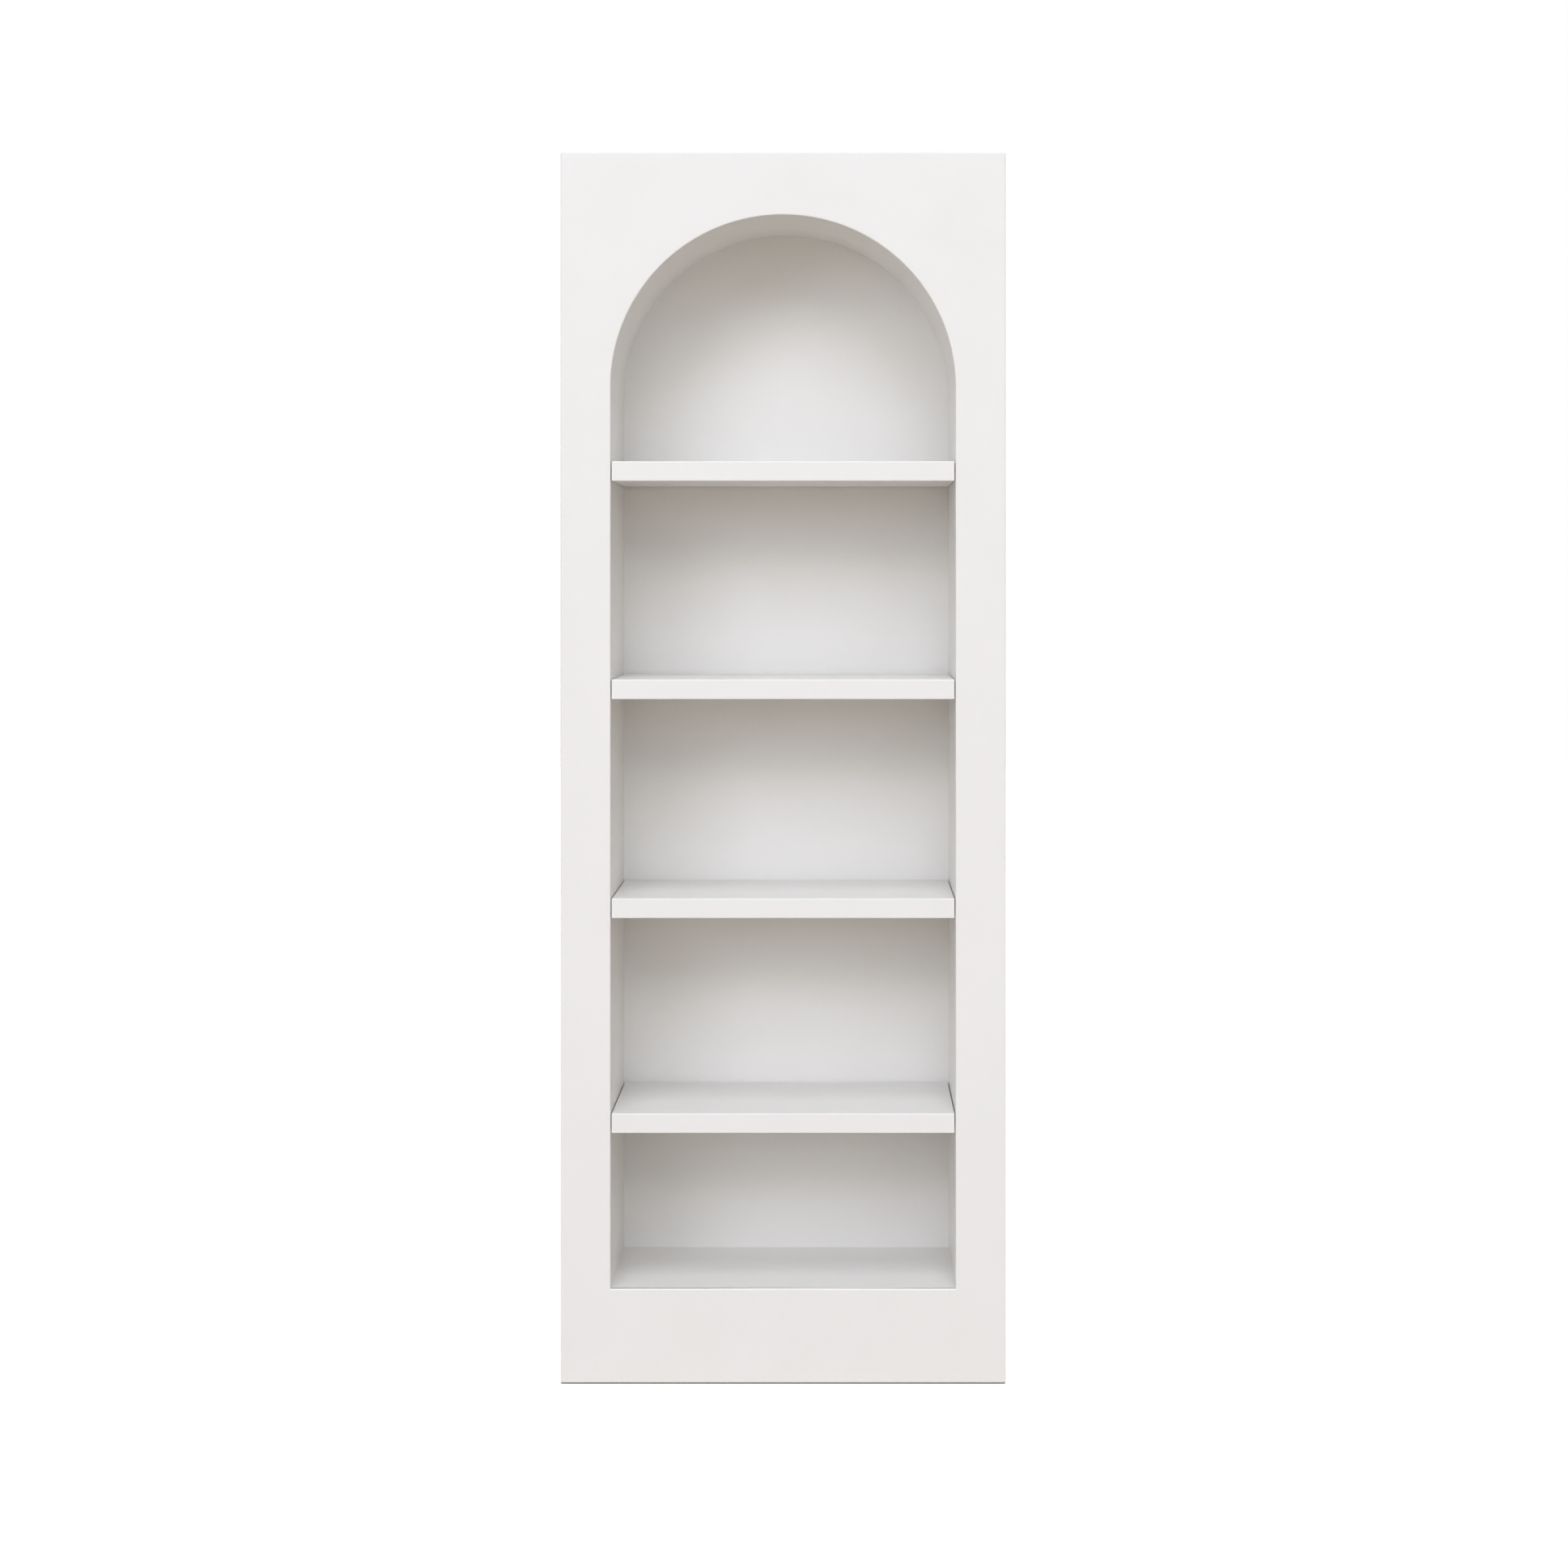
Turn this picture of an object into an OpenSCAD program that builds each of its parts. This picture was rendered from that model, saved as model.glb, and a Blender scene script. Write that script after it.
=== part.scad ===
// Tall bookcase with an arched opening, built of painted MDF boards.
// A one-piece front frame covers a double-walled case. Four loose shelves slide onto bent steel wires
// that hide in grooves in their ends, and the case stands on four levelling feet against a wall.
// x runs to the right, y back to the wall and z up, from the floor under the middle of the case.

/* [Case] */
// Overall width
case_w = 650; // [632:1:740]
// Overall depth, from the front face to the wall
case_d = 300; // [270:1:380]
// Thickness of the sides, top, deck and base
board_t = 18; // [16:0.5:20]
// Thickness of the front frame
front_t = 18; // [16:0.5:22]
// Gap between the case and the floor
floor_gap = 1.5; // [1:0.5:4]
// Radius of the four corners seen from the front
corner_r = 4; // [3:0.5:8]
// Radius of the eased front edges
edge_r = 2; // [1:0.25:2.5]

/* [Arched opening] */
// Width of the opening, twice the radius of its arch
opening_w = 504; // [470:1:520]
// Height of the straight walls between the top shelf and the arch
top_bay_wall = 108; // [40:1:250]
// Height of the frame above the crown of the arch
top_rail = 92; // [60:1:130]
// Height of the sill, and of the deck behind it
sill_h = 139; // [115:1:200]

/* [Inner walls and arch] */
// Thickness of the inner sides
liner_t = 18; // [16:0.5:20]
// Height of each spacer block between the walls
spacer_h = 40; // [20:1:80]
// Spacer blocks in each wall
spacer_count = 5; // [3:1:8]
// Thickness of the bent soffit
soffit_t = 8; // [6:0.5:12]
// Uncut skin left under the soffit's saw kerfs
soffit_skin = 2; // [1.5:0.5:3]
// Width of a saw kerf
kerf_w = 3; // [2:0.5:4]
// Distance from kerf to kerf along the soffit
kerf_pitch = 16; // [12:1:24]
// Thickness of the ribs over the soffit
rib_t = 18; // [12:1:22]

/* [Shelves] */
// Thickness of a shelf
shelf_t = 29; // [24:0.5:34]
// Clear height of the lowest bay
bay_1 = 227; // [180:1:280]
// Clear height of the second bay
bay_2 = 285; // [220:1:330]
// Clear height of the third bay
bay_3 = 291; // [220:1:330]
// Clear height of the fourth bay
bay_4 = 290; // [220:1:330]
// Gap between each end of a shelf and the wall
shelf_gap = 1.25; // [1:0.25:3.5]
// How far the shelves sit behind the front face
shelf_inset = 1; // [0.5:0.5:4]
// Gap between a shelf and the back
shelf_back_gap = 2; // [1:0.5:5]
// Radius of a shelf's eased edges
shelf_edge_r = 1.5; // [0.5:0.25:3]

/* [Shelf wires] */
// Diameter of the bent wire
wire_d = 3; // [2.5:0.25:3.5]
// Front leg, behind the front face
wire_front = 58; // [45:1:100]
// Rear leg, in front of the back
wire_back = 30; // [22:1:80]
// Wire's middle line, out from the wall
wire_off = 5.5; // [5:0.25:7]
// Depth of a leg's hole in the wall
wire_hole = 12; // [8:0.5:13]
// Radius of the wire's bends
wire_bend = 4; // [3:0.5:4.5]
// Room around the wire in the shelf's groove
wire_play = 0.3; // [0.2:0.05:0.6]
// Diameter of the cutter that makes the groove
groove_cutter = 40; // [30:1:60]

/* [Back] */
// Thickness of the back
back_t = 9; // [6:0.5:11]
// How deep the back sits inside the rear edges
back_recess = 3; // [2.5:0.5:5]
// Room around the back in its rebate
back_play = 0.5; // [0.2:0.1:1]

/* [Plinth] */
// Thickness of the risers between base and deck
riser_t = 18; // [12:1:22]
// Distance from riser to riser
riser_pitch = 200; // [150:1:215]

/* [Feet] */
// Diameter of a foot's pad
pad_d = 36; // [28:1:44]
// Thickness of the pad
pad_t = 5; // [4:0.5:7]
// Diameter of the pad's boss
boss_d = 18; // [16:0.5:22]
// Height of the pad's boss
boss_h = 2; // [1:0.5:4]
// Hexagon on the stud, across its flats
hex_af = 13; // [11:1:16]
// Height of the hexagon
hex_h = 4.5; // [3:0.5:7]
// Room over the hexagon when the foot is fully in
home_gap = 0.5; // [0.3:0.1:2]
// Diameter of the threaded stud
stud_d = 8; // [6:0.5:9]
// Length of the thread above the hexagon
stud_len = 40; // [34:1:60]
// Diameter of the pin that turns in the pad
pin_d = 6; // [4:0.5:7]
// Length of that pin
pin_len = 4.5; // [3:0.5:5]
// Diameter of the threaded insert in the base
insert_d = 12; // [11:0.5:14]
// Foot, in from the outer side
foot_in_x = 70; // [60:1:85]
// Foot, in from the front and the rear
foot_in_y = 50; // [45:1:70]

/* [Fittings] */
// Diameter of a cam fitting
cam_d = 15; // [12:0.5:16]
// Depth of a cam fitting
cam_depth = 12.5; // [11.5:0.25:13.5]
// Middle of the cam, in from the board's end
cam_set = 24; // [20:1:34]
// Cams, in from the front frame and the back
cam_margin = 50; // [40:1:70]
// Diameter of a dowel
dowel_d = 8; // [6:0.5:9]
// Length of a dowel
dowel_len = 30; // [24:1:34]
// Depth of a dowel in the thinner face
dowel_in_face = 12; // [8:0.5:13]
// Dowels in each stile
stile_dowels = 6; // [3:1:9]
// Diameter of the screws through the back
back_screw_d = 3.5; // [3:0.25:4]
// Length of the screws through the back
back_screw_len = 25; // [20:1:28]
// Screws in each upright line on the back
back_screw_rows = 7; // [4:1:10]
// Diameter of the screws through the base
base_screw_d = 4.5; // [4:0.25:5]
// Length of the screws through the base
base_screw_len = 50; // [40:1:55]

/* [Wall brackets] */
// Length of each leg of an angle
bracket_leg = 25; // [22:1:35]
// Width of an angle
bracket_w = 30; // [26:1:50]
// Thickness of an angle
bracket_t = 2; // [1.5:0.25:3]
// Distance between the two angles, and so between their wall holes
bracket_pitch = 400; // [300:1:440]
// Diameter of the hole for the wall screw
wall_hole_d = 5.5; // [4.5:0.5:7]
// Diameter of the screws into the top
bracket_screw_d = 4; // [3:0.25:4.5]

/* [Hidden] */
$fn = 48;

// Colours
paint = "#EDECEA";
raw_mdf = "#B38F66";
beech = "#D8B98C";
zinc = "#B4B8BC";
black_plastic = "#2B2C2E";

// How far a cutter runs past the face that it opens
over = 1;
// Room around each fitting in its hole
fit = 0.05;
// Room past the end of each dowel, screw and wire leg
end_fit = 0.5;

// Case, from the front to the wall
half_w = case_w / 2;
front_y = -case_d / 2;
wall_y = case_d / 2;
case_y = front_y + front_t;
rebate_w = board_t / 2;
rebate_d = back_t + back_recess;
back_y = wall_y - rebate_d;
inner_half_w = half_w - board_t;

// Case, from the floor up
base_z = pad_t + boss_h + hex_h + home_gap;
deck_z = sill_h - board_t;
arch_r = opening_w / 2;
bays = [bay_1, bay_2, bay_3, bay_4];
spring_z = shelf_z(4) + shelf_t + top_bay_wall;
case_h = spring_z + arch_r + top_rail;
top_z = case_h - board_t;
wall_void = inner_half_w - arch_r - liner_t;
kerf_count = floor(PI * arch_r / kerf_pitch);

// Shelves
shelf_w = opening_w - 2 * shelf_gap;
shelf_y = front_y + shelf_inset;
shelf_d = back_y - shelf_back_gap - shelf_y;
wire_x = arch_r - wire_off;
wire_legs_y = [front_y + wire_front, back_y - wire_back];

// Feet
foot_spots = [half_w - foot_in_x, case_d / 2 - foot_in_y];
boss_z = pad_t + boss_h;
hex_top_z = boss_z + hex_h;

// Fittings
cam_legs_y = [case_y + cam_margin, back_y - cam_margin];
cam_bolt_hole_d = 7.5;
cam_bolt_d = 5;
cam_head_d = 6.8;
cam_head_t = 3;
cam_thread_d = 6;
cam_thread_len = 11;
cross_board_z = [base_z, deck_z, top_z];
rail_dowel_x = 150;
stile_dowel_in = 60;
liner_dowel_in = 72;
base_screw_in = 62;
back_screw_in = 30;
bracket_screw_len = 14;
bracket_screw_in = 9;
bracket_screw_pitch = 16;
back_screw_head_d = 2 * back_screw_d;
back_screw_head_t = 2.2;

function total(list, n) = n == 0 ? 0 : list[n - 1] + total(list, n - 1);
function shelf_z(n) = sill_h + total(bays, n) + (n - 1) * shelf_t;
function spread(a, b, count, i) = a + (b - a) * i / (count - 1);

// Shapes drawn flat and run along an axis

// Runs a shape drawn in x and z back from y = a to y = b
module along_y(a, b) {
    translate([0, b, 0]) rotate([90, 0, 0]) linear_extrude(b - a) children();
}

// Runs a shape drawn in y and z from x = a to x = b
module along_x(a, b) {
    translate([a, 0, 0]) rotate([90, 0, 90]) linear_extrude(b - a) children();
}

// A board between two opposite corners
module board(low, high) {
    translate(low) cube(high - low);
}

// A rectangle with round corners, from the origin
module rounded_rect(w, h, r) {
    translate([r, 0]) square([w - 2 * r, h]);
    translate([0, r]) square([w, h - 2 * r]);
    for (x = [r, w - r], y = [r, h - r]) translate([x, y]) circle(r);
}

module left_and_right() {
    children();
    mirror([1, 0, 0]) children();
}

module bore_x(at, d, len) {
    translate(at) rotate([0, 90, 0]) cylinder(d = d, h = len);
}

module bore_y(at, d, len) {
    translate(at) rotate([-90, 0, 0]) cylinder(d = d, h = len);
}

// Edges eased with a rounding-over bit

// What the bit takes off a corner at the origin that has its wood towards +x and +y
module round_over(r, side = over) {
    difference() {
        translate([-side, -over]) square([r + side, r + over]);
        translate([r, r]) circle(r);
    }
}

// The same along a straight edge that rises from the origin
module eased_line(len) {
    linear_extrude(len) round_over(edge_r);
}

// The same round an inner edge, an arc about the y axis with its wood outside
module eased_arc(r, angle) {
    rotate([90, 0, 0]) rotate_extrude(angle = angle) translate([r, 0])
        mirror([0, 1]) round_over(edge_r, min(r, over));
}

// The same round an outer corner, a quarter turn with its wood inside
module eased_corner(r) {
    rotate([90, 0, 0]) rotate_extrude(angle = 90) translate([r, 0])
        rotate(180) round_over(edge_r);
}

// Front frame

module case_outline() {
    translate([-half_w, floor_gap]) rounded_rect(case_w, case_h - floor_gap, corner_r);
}

module opening_outline() {
    translate([-arch_r, sill_h]) square([opening_w, spring_z - sill_h]);
    translate([0, spring_z]) circle(arch_r, $fn = 180);
}

// One upper quarter of the eased outer edge, from the middle of the side to the middle of the top
module outer_edge_quarter() {
    mid_z = (case_h + floor_gap) / 2;
    translate([half_w, front_y, mid_z]) mirror([1, 0, 0]) eased_line(case_h - corner_r - mid_z);
    translate([half_w - corner_r, front_y, case_h - corner_r]) eased_corner(corner_r);
    translate([0, front_y, case_h]) rotate([0, 90, 0]) eased_line(half_w - corner_r);
}

module outer_edges() {
    left_and_right() {
        outer_edge_quarter();
        translate([0, 0, case_h + floor_gap]) mirror([0, 0, 1]) outer_edge_quarter();
    }
}

module opening_edges() {
    translate([0, front_y, spring_z]) eased_arc(arch_r, 180, $fn = 180);
    translate([-arch_r, front_y, sill_h]) rotate([0, 90, 0]) eased_line(opening_w);
    left_and_right() {
        translate([arch_r, front_y, sill_h]) eased_line(spring_z - sill_h);
        translate([arch_r, front_y, sill_h]) mirror([0, 0, 1]) eased_arc(0, 90);
    }
}

// Where dowels join the front frame to the board edges behind it
stile_dowel_ends = [floor_gap + stile_dowel_in, case_h - stile_dowel_in];
liner_dowel_ends = [sill_h + stile_dowel_in, spring_z - stile_dowel_in];
front_dowel_spots = [
    for (i = [0:stile_dowels - 1])
        [half_w - board_t / 2, spread(stile_dowel_ends[0], stile_dowel_ends[1], stile_dowels, i)],
    for (i = [0:stile_dowels - 2])
        [arch_r + liner_t / 2, spread(liner_dowel_ends[0], liner_dowel_ends[1], stile_dowels - 1, i)],
    for (z = cross_board_z) [rail_dowel_x, z + board_t / 2]
];

module front_dowel_holes() {
    left_and_right() for (p = front_dowel_spots)
        bore_y([p[0], case_y - dowel_in_face - end_fit, p[1]], dowel_d + 2 * fit,
            dowel_len + 2 * end_fit);
}

module front_panel() {
    color(paint) difference() {
        along_y(front_y, case_y) difference() {
            case_outline();
            opening_outline();
        }
        outer_edges();
        opening_edges();
        front_dowel_holes();
    }
}

// Outer sides, with a rebate for the back and holes for the cam bolts

module rear_rebate() {
    left_and_right() translate([inner_half_w - over, back_y, base_z + rebate_w])
        cube([rebate_w + over, rebate_d + over, top_z + rebate_w - (base_z + rebate_w)]);
}

module cam_bolt_holes() {
    left_and_right() for (z = cross_board_z, y = cam_legs_y)
        bore_x([inner_half_w - over, y, z + board_t / 2], cam_thread_d + 2 * fit,
            cam_thread_len + end_fit + over);
}

module outer_side() {
    color(paint) difference() {
        along_y(case_y, wall_y) intersection() {
            case_outline();
            translate([inner_half_w, 0]) square([board_t, case_h]);
        }
        rear_rebate();
        translate([half_w, wall_y, 0]) rotate([0, 0, 180]) eased_line(case_h + over);
        cam_bolt_holes();
        front_dowel_holes();
        back_screw_holes();
    }
}

// Inner sides: they stand on the deck, carry the soffit and ribs, and take the wires' legs

module wire_holes() {
    left_and_right() for (n = [1:4], y = wire_legs_y)
        bore_x([arch_r - over, y, shelf_z(n) + shelf_t / 2], wire_d + 2 * fit,
            wire_hole + end_fit + over);
}

module inner_side_dowel_holes() {
    left_and_right() for (y = [case_y + liner_dowel_in, back_y - liner_dowel_in])
        translate([arch_r + liner_t / 2, y, sill_h - dowel_in_face - end_fit])
            cylinder(d = dowel_d + 2 * fit, h = dowel_len + 2 * end_fit);
}

module inner_side() {
    color(paint) difference() {
        board([arch_r, case_y, sill_h], [arch_r + liner_t, back_y, spring_z]);
        wire_holes();
        inner_side_dowel_holes();
        front_dowel_holes();
        back_screw_holes();
    }
}

module spacers() {
    color(raw_mdf) for (i = [0:spacer_count - 1]) {
        z = spread(sill_h, spring_z - spacer_h, spacer_count, i);
        board([inner_half_w - wall_void, case_y, z], [inner_half_w, back_y, z + spacer_h]);
    }
}

// Top, deck and base, drawn between the outer sides

// Cams are let into the hidden face: the base's upper face, the deck's and the top's lower faces
module cam_holes(z, from_above) {
    left_and_right() for (y = cam_legs_y) {
        translate([inner_half_w - cam_set, y, from_above ? z + board_t - cam_depth : z - over])
            cylinder(d = cam_d, h = cam_depth + over);
        bore_x([inner_half_w - cam_set, y, z + board_t / 2], cam_bolt_hole_d, cam_set + over);
    }
}

module cross_board(z, y_end, from_above) {
    difference() {
        board([-inner_half_w, case_y, z], [inner_half_w, y_end, z + board_t]);
        cam_holes(z, from_above);
        front_dowel_holes();
    }
}

module bracket_pocket() {
    left_and_right() board(
        [bracket_pitch / 2 - bracket_w / 2 - fit, wall_y - bracket_leg - fit, case_h - bracket_t],
        [bracket_pitch / 2 + bracket_w / 2 + fit, wall_y + over, case_h + over]);
}

module top_panel() {
    color(paint) difference() {
        cross_board(top_z, wall_y, false);
        board([-half_w, back_y, top_z - over], [half_w, wall_y + over, top_z + rebate_w]);
        bracket_pocket();
        bracket_screw_holes(bracket_screw_d, case_h - bracket_screw_len - end_fit);
        back_screw_holes();
    }
}

module deck_panel() {
    color(paint) difference() {
        cross_board(deck_z, back_y, false);
        inner_side_dowel_holes();
    }
}

module base_panel() {
    color(paint) difference() {
        cross_board(base_z, wall_y, true);
        board([-half_w, back_y, base_z + rebate_w], [half_w, wall_y + over, base_z + board_t + over]);
        back_screw_holes();
        base_screw_holes();
        each_foot() translate([0, 0, base_z - over]) cylinder(d = insert_d, h = board_t + 2 * over);
    }
}

// Plinth risers, glued and screwed between base and deck

base_screw_y = [case_y + base_screw_in, back_y - base_screw_in];

module base_screw_holes() {
    for (x = [-riser_pitch, 0, riser_pitch], y = base_screw_y) translate([x, y, base_z]) {
        translate([0, 0, -over]) cylinder(d = base_screw_d + 2 * fit, h = base_screw_len + end_fit + over);
        cylinder(d1 = 2 * base_screw_d + 2 * fit, d2 = base_screw_d + 2 * fit, h = base_screw_d / 2);
    }
}

module plinth_riser(x) {
    color(raw_mdf) difference() {
        board([x - riser_t / 2, case_y, base_z + board_t], [x + riser_t / 2, back_y, deck_z]);
        base_screw_holes();
    }
}

module base_screws() {
    color(zinc) for (x = [-riser_pitch, 0, riser_pitch], y = base_screw_y)
        translate([x, y, base_z]) countersunk_screw(base_screw_d, base_screw_len);
}

// Arch: a soffit bent over saw kerfs in its hidden face, and the ribs that hold its curve

module kerf() {
    translate([arch_r + soffit_skin, -kerf_w / 2, -over])
        cube([soffit_t - soffit_skin + over, kerf_w, back_y - case_y + 2 * over]);
}

module arch_soffit() {
    color(paint) translate([0, back_y, spring_z]) rotate([90, 0, 0]) difference() {
        rotate_extrude(angle = 180, $fn = 180)
            translate([arch_r, 0]) square([soffit_t, back_y - case_y]);
        for (i = [0:kerf_count - 1]) rotate([0, 0, (i + 0.5) * 180 / kerf_count]) kerf();
    }
}

module arch_rib(y) {
    color(raw_mdf) difference() {
        along_y(y, y + rib_t) difference() {
            translate([-inner_half_w, spring_z]) square([2 * inner_half_w, top_z - spring_z]);
            translate([0, spring_z]) circle(arch_r + soffit_t, $fn = 180);
        }
        back_screw_holes();
    }
}

// Shelves: eased all round, grooved in both ends from the rear to just behind the front

module shelf_board() {
    intersection() {
        along_x(-shelf_w / 2, shelf_w / 2) translate([shelf_y, 0])
            rounded_rect(shelf_d, shelf_t, shelf_edge_r);
        translate([-shelf_w / 2, shelf_y, -over]) linear_extrude(shelf_t + 2 * over)
            rounded_rect(shelf_w, shelf_d, shelf_edge_r);
    }
}

// The slot cutter starts at the front leg and runs out through the rear edge
module shelf_groove() {
    groove_h = wire_d + 2 * wire_play;
    groove_x = wire_x - wire_d / 2 - wire_play;
    groove_y = wire_legs_y[0] - wire_d / 2 - wire_play;
    translate([0, 0, (shelf_t - groove_h) / 2]) {
        translate([groove_x, groove_y, 0]) cube([wire_off + wire_d, shelf_d, groove_h]);
        translate([groove_x + groove_cutter / 2, groove_y, 0])
            cylinder(d = groove_cutter, h = groove_h, $fn = 96);
    }
}

module shelf(n) {
    color(paint) translate([0, 0, shelf_z(n)]) difference() {
        shelf_board();
        left_and_right() shelf_groove();
    }
}

// One wire, bent square at both ends so that its legs enter the inner side
module shelf_wire() {
    leg_len = arch_r + wire_hole - (wire_x + wire_bend);
    translate([wire_x, wire_legs_y[0] + wire_bend, 0]) rotate([-90, 0, 0])
        cylinder(d = wire_d, h = wire_legs_y[1] - wire_legs_y[0] - 2 * wire_bend);
    for (end = [0, 1]) translate([wire_x + wire_bend, wire_legs_y[end], 0]) {
        bore_x([0, 0, 0], wire_d, leg_len);
        translate([0, end == 0 ? wire_bend : -wire_bend, 0]) rotate([0, 0, end == 0 ? 180 : 90])
            rotate_extrude(angle = 90) translate([wire_bend, 0]) circle(d = wire_d);
    }
}

module shelf_wires() {
    color(zinc) for (n = [1:4]) translate([0, 0, shelf_z(n) + shelf_t / 2]) shelf_wire();
}

// Back, let into the rebates and screwed to every upright behind it

back_screw_x = [inner_half_w + rebate_w / 2, arch_r + liner_t / 2];
back_screw_ends = [
    [base_z + board_t + back_screw_in, top_z - back_screw_in],
    [sill_h + back_screw_in, spring_z - back_screw_in]
];
back_screw_spots = [
    for (line = [0, 1], i = [0:back_screw_rows - 1])
        [back_screw_x[line], spread(back_screw_ends[line][0], back_screw_ends[line][1],
            back_screw_rows, i)],
    for (z = [base_z + board_t * 3 / 4, top_z + rebate_w / 2, (top_z + case_h - top_rail + soffit_t) / 2])
        [rail_dowel_x * 2 / 3, z]
];

module back_screw_holes() {
    left_and_right() for (p = back_screw_spots)
        bore_y([p[0], wall_y - back_recess - back_screw_len - end_fit, p[1]], back_screw_d + 2 * fit,
            back_screw_len + end_fit + over);
}

module back_panel() {
    x = inner_half_w + rebate_w - back_play;
    color(paint) difference() {
        board([-x, back_y, base_z + rebate_w + back_play],
            [x, back_y + back_t, top_z + rebate_w - back_play]);
        back_screw_holes();
    }
}

module back_screws() {
    color(zinc) left_and_right() for (p = back_screw_spots)
        translate([p[0], wall_y - back_recess, p[1]]) rotate([90, 0, 0])
            pan_head_screw(back_screw_d, back_screw_len);
}

// Screws, drawn from the underside of the head along +z

module screw_shank(d, len) {
    point_h = 1.2 * d;
    cylinder(d = d, h = len - point_h);
    translate([0, 0, len - point_h]) cylinder(d1 = d, d2 = 0.2, h = point_h);
}

module pan_head_screw(d, len) {
    screw_shank(d, len);
    translate([0, 0, -back_screw_head_t]) cylinder(d1 = 0.8 * back_screw_head_d,
        d2 = back_screw_head_d, h = back_screw_head_t / 2);
    translate([0, 0, -back_screw_head_t / 2]) cylinder(d = back_screw_head_d, h = back_screw_head_t / 2);
}

module countersunk_screw(d, len) {
    screw_shank(d, len);
    cylinder(d1 = 2 * d, d2 = d, h = d / 2);
}

// Dowels, with chamfered ends

module dowel() {
    chamfer = 1;
    cylinder(d1 = dowel_d - 2 * chamfer, d2 = dowel_d, h = chamfer);
    translate([0, 0, chamfer]) cylinder(d = dowel_d, h = dowel_len - 2 * chamfer);
    translate([0, 0, dowel_len - chamfer]) cylinder(d1 = dowel_d, d2 = dowel_d - 2 * chamfer, h = chamfer);
}

module front_dowels() {
    color(beech) left_and_right() for (p = front_dowel_spots)
        translate([p[0], case_y - dowel_in_face, p[1]]) rotate([-90, 0, 0]) dowel();
}

module inner_side_dowels() {
    color(beech) left_and_right() for (y = [case_y + liner_dowel_in, back_y - liner_dowel_in])
        translate([arch_r + liner_t / 2, y, sill_h - dowel_in_face]) dowel();
}

// Cams turn on the heads of bolts that are screwed into the outer sides

module cam_lock() {
    slot_w = cam_head_d + 1;
    difference() {
        cylinder(d = cam_d - 2 * fit, h = cam_depth);
        translate([-slot_w / 2, -slot_w / 2, board_t / 2 - slot_w / 2])
            cube([cam_d, slot_w, board_t]);
        translate([-cam_d / 4, -0.6, -over]) cube([cam_d / 2, 1.2, 2.5 + over]);
        translate([-0.6, -cam_d / 4, -over]) cube([1.2, cam_d / 2, 2.5 + over]);
    }
}

module cam_locks() {
    color(zinc) left_and_right() for (z = cross_board_z, y = cam_legs_y)
        translate([inner_half_w - cam_set, y, z == base_z ? z + board_t : z])
            mirror([0, 0, z == base_z ? 1 : 0]) cam_lock();
}

module cam_bolt() {
    head_x = inner_half_w - cam_set - cam_head_t / 2;
    bore_x([head_x, 0, 0], cam_head_d, cam_head_t);
    bore_x([head_x + cam_head_t, 0, 0], cam_bolt_d, inner_half_w - head_x - cam_head_t);
    bore_x([inner_half_w, 0, 0], cam_thread_d, cam_thread_len);
}

module cam_bolts() {
    color(zinc) left_and_right() for (z = cross_board_z, y = cam_legs_y)
        translate([0, y, z + board_t / 2]) cam_bolt();
}

// Wall brackets, let in flush at the rear of the top

module bracket_screw_holes(d, low) {
    left_and_right() for (side = [-1, 1]) translate([
        bracket_pitch / 2 + side * bracket_screw_pitch / 2, wall_y - bracket_leg + bracket_screw_in, 0]) {
        translate([0, 0, low]) cylinder(d = d + 2 * fit, h = case_h + over - low);
        translate([0, 0, case_h - d / 2]) cylinder(d1 = d + 2 * fit, d2 = 2 * d + 2 * fit, h = d / 2);
    }
}

module bracket_section() {
    bend = 1.5 * bracket_t;
    translate([wall_y - bracket_leg, case_h - bracket_t]) square([bracket_leg - bend, bracket_t]);
    translate([wall_y - bracket_t, case_h - bracket_t + bend])
        square([bracket_t, bracket_leg - bend]);
    translate([wall_y - bend, case_h - bracket_t + bend]) intersection() {
        difference() {
            circle(bend);
            circle(bend - bracket_t);
        }
        translate([0, -bend]) square(bend);
    }
}

module wall_bracket() {
    wall_hole_z = case_h + (bracket_leg - bracket_t) * 0.6;
    color(zinc) intersection() {
        difference() {
            along_x(bracket_pitch / 2 - bracket_w / 2, bracket_pitch / 2 + bracket_w / 2)
                bracket_section();
            bore_y([bracket_pitch / 2, wall_y - bracket_t - over, wall_hole_z], wall_hole_d,
                bracket_t + 2 * over);
            bracket_screw_holes(bracket_screw_d, case_h - 2 * bracket_t);
        }
        along_y(wall_y - bracket_leg - over, wall_y + over)
            translate([bracket_pitch / 2 - bracket_w / 2, case_h - 2 * bracket_leg])
            rounded_rect(bracket_w, 3 * bracket_leg - bracket_t, 4);
    }
}

module bracket_screws() {
    color(zinc) left_and_right() for (side = [-1, 1]) translate([
        bracket_pitch / 2 + side * bracket_screw_pitch / 2,
        wall_y - bracket_leg + bracket_screw_in, case_h])
        rotate([180, 0, 0]) countersunk_screw(bracket_screw_d, bracket_screw_len);
}

// Levelling feet

module each_foot() {
    for (x = [-foot_spots[0], foot_spots[0]], y = [-foot_spots[1], foot_spots[1]])
        translate([x, y, 0]) children();
}

module foot_inserts() {
    color(zinc) each_foot() translate([0, 0, base_z]) difference() {
        cylinder(d = insert_d - 2 * fit, h = board_t);
        translate([0, 0, -over]) cylinder(d = stud_d + 2 * fit, h = board_t + 2 * over);
    }
}

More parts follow.
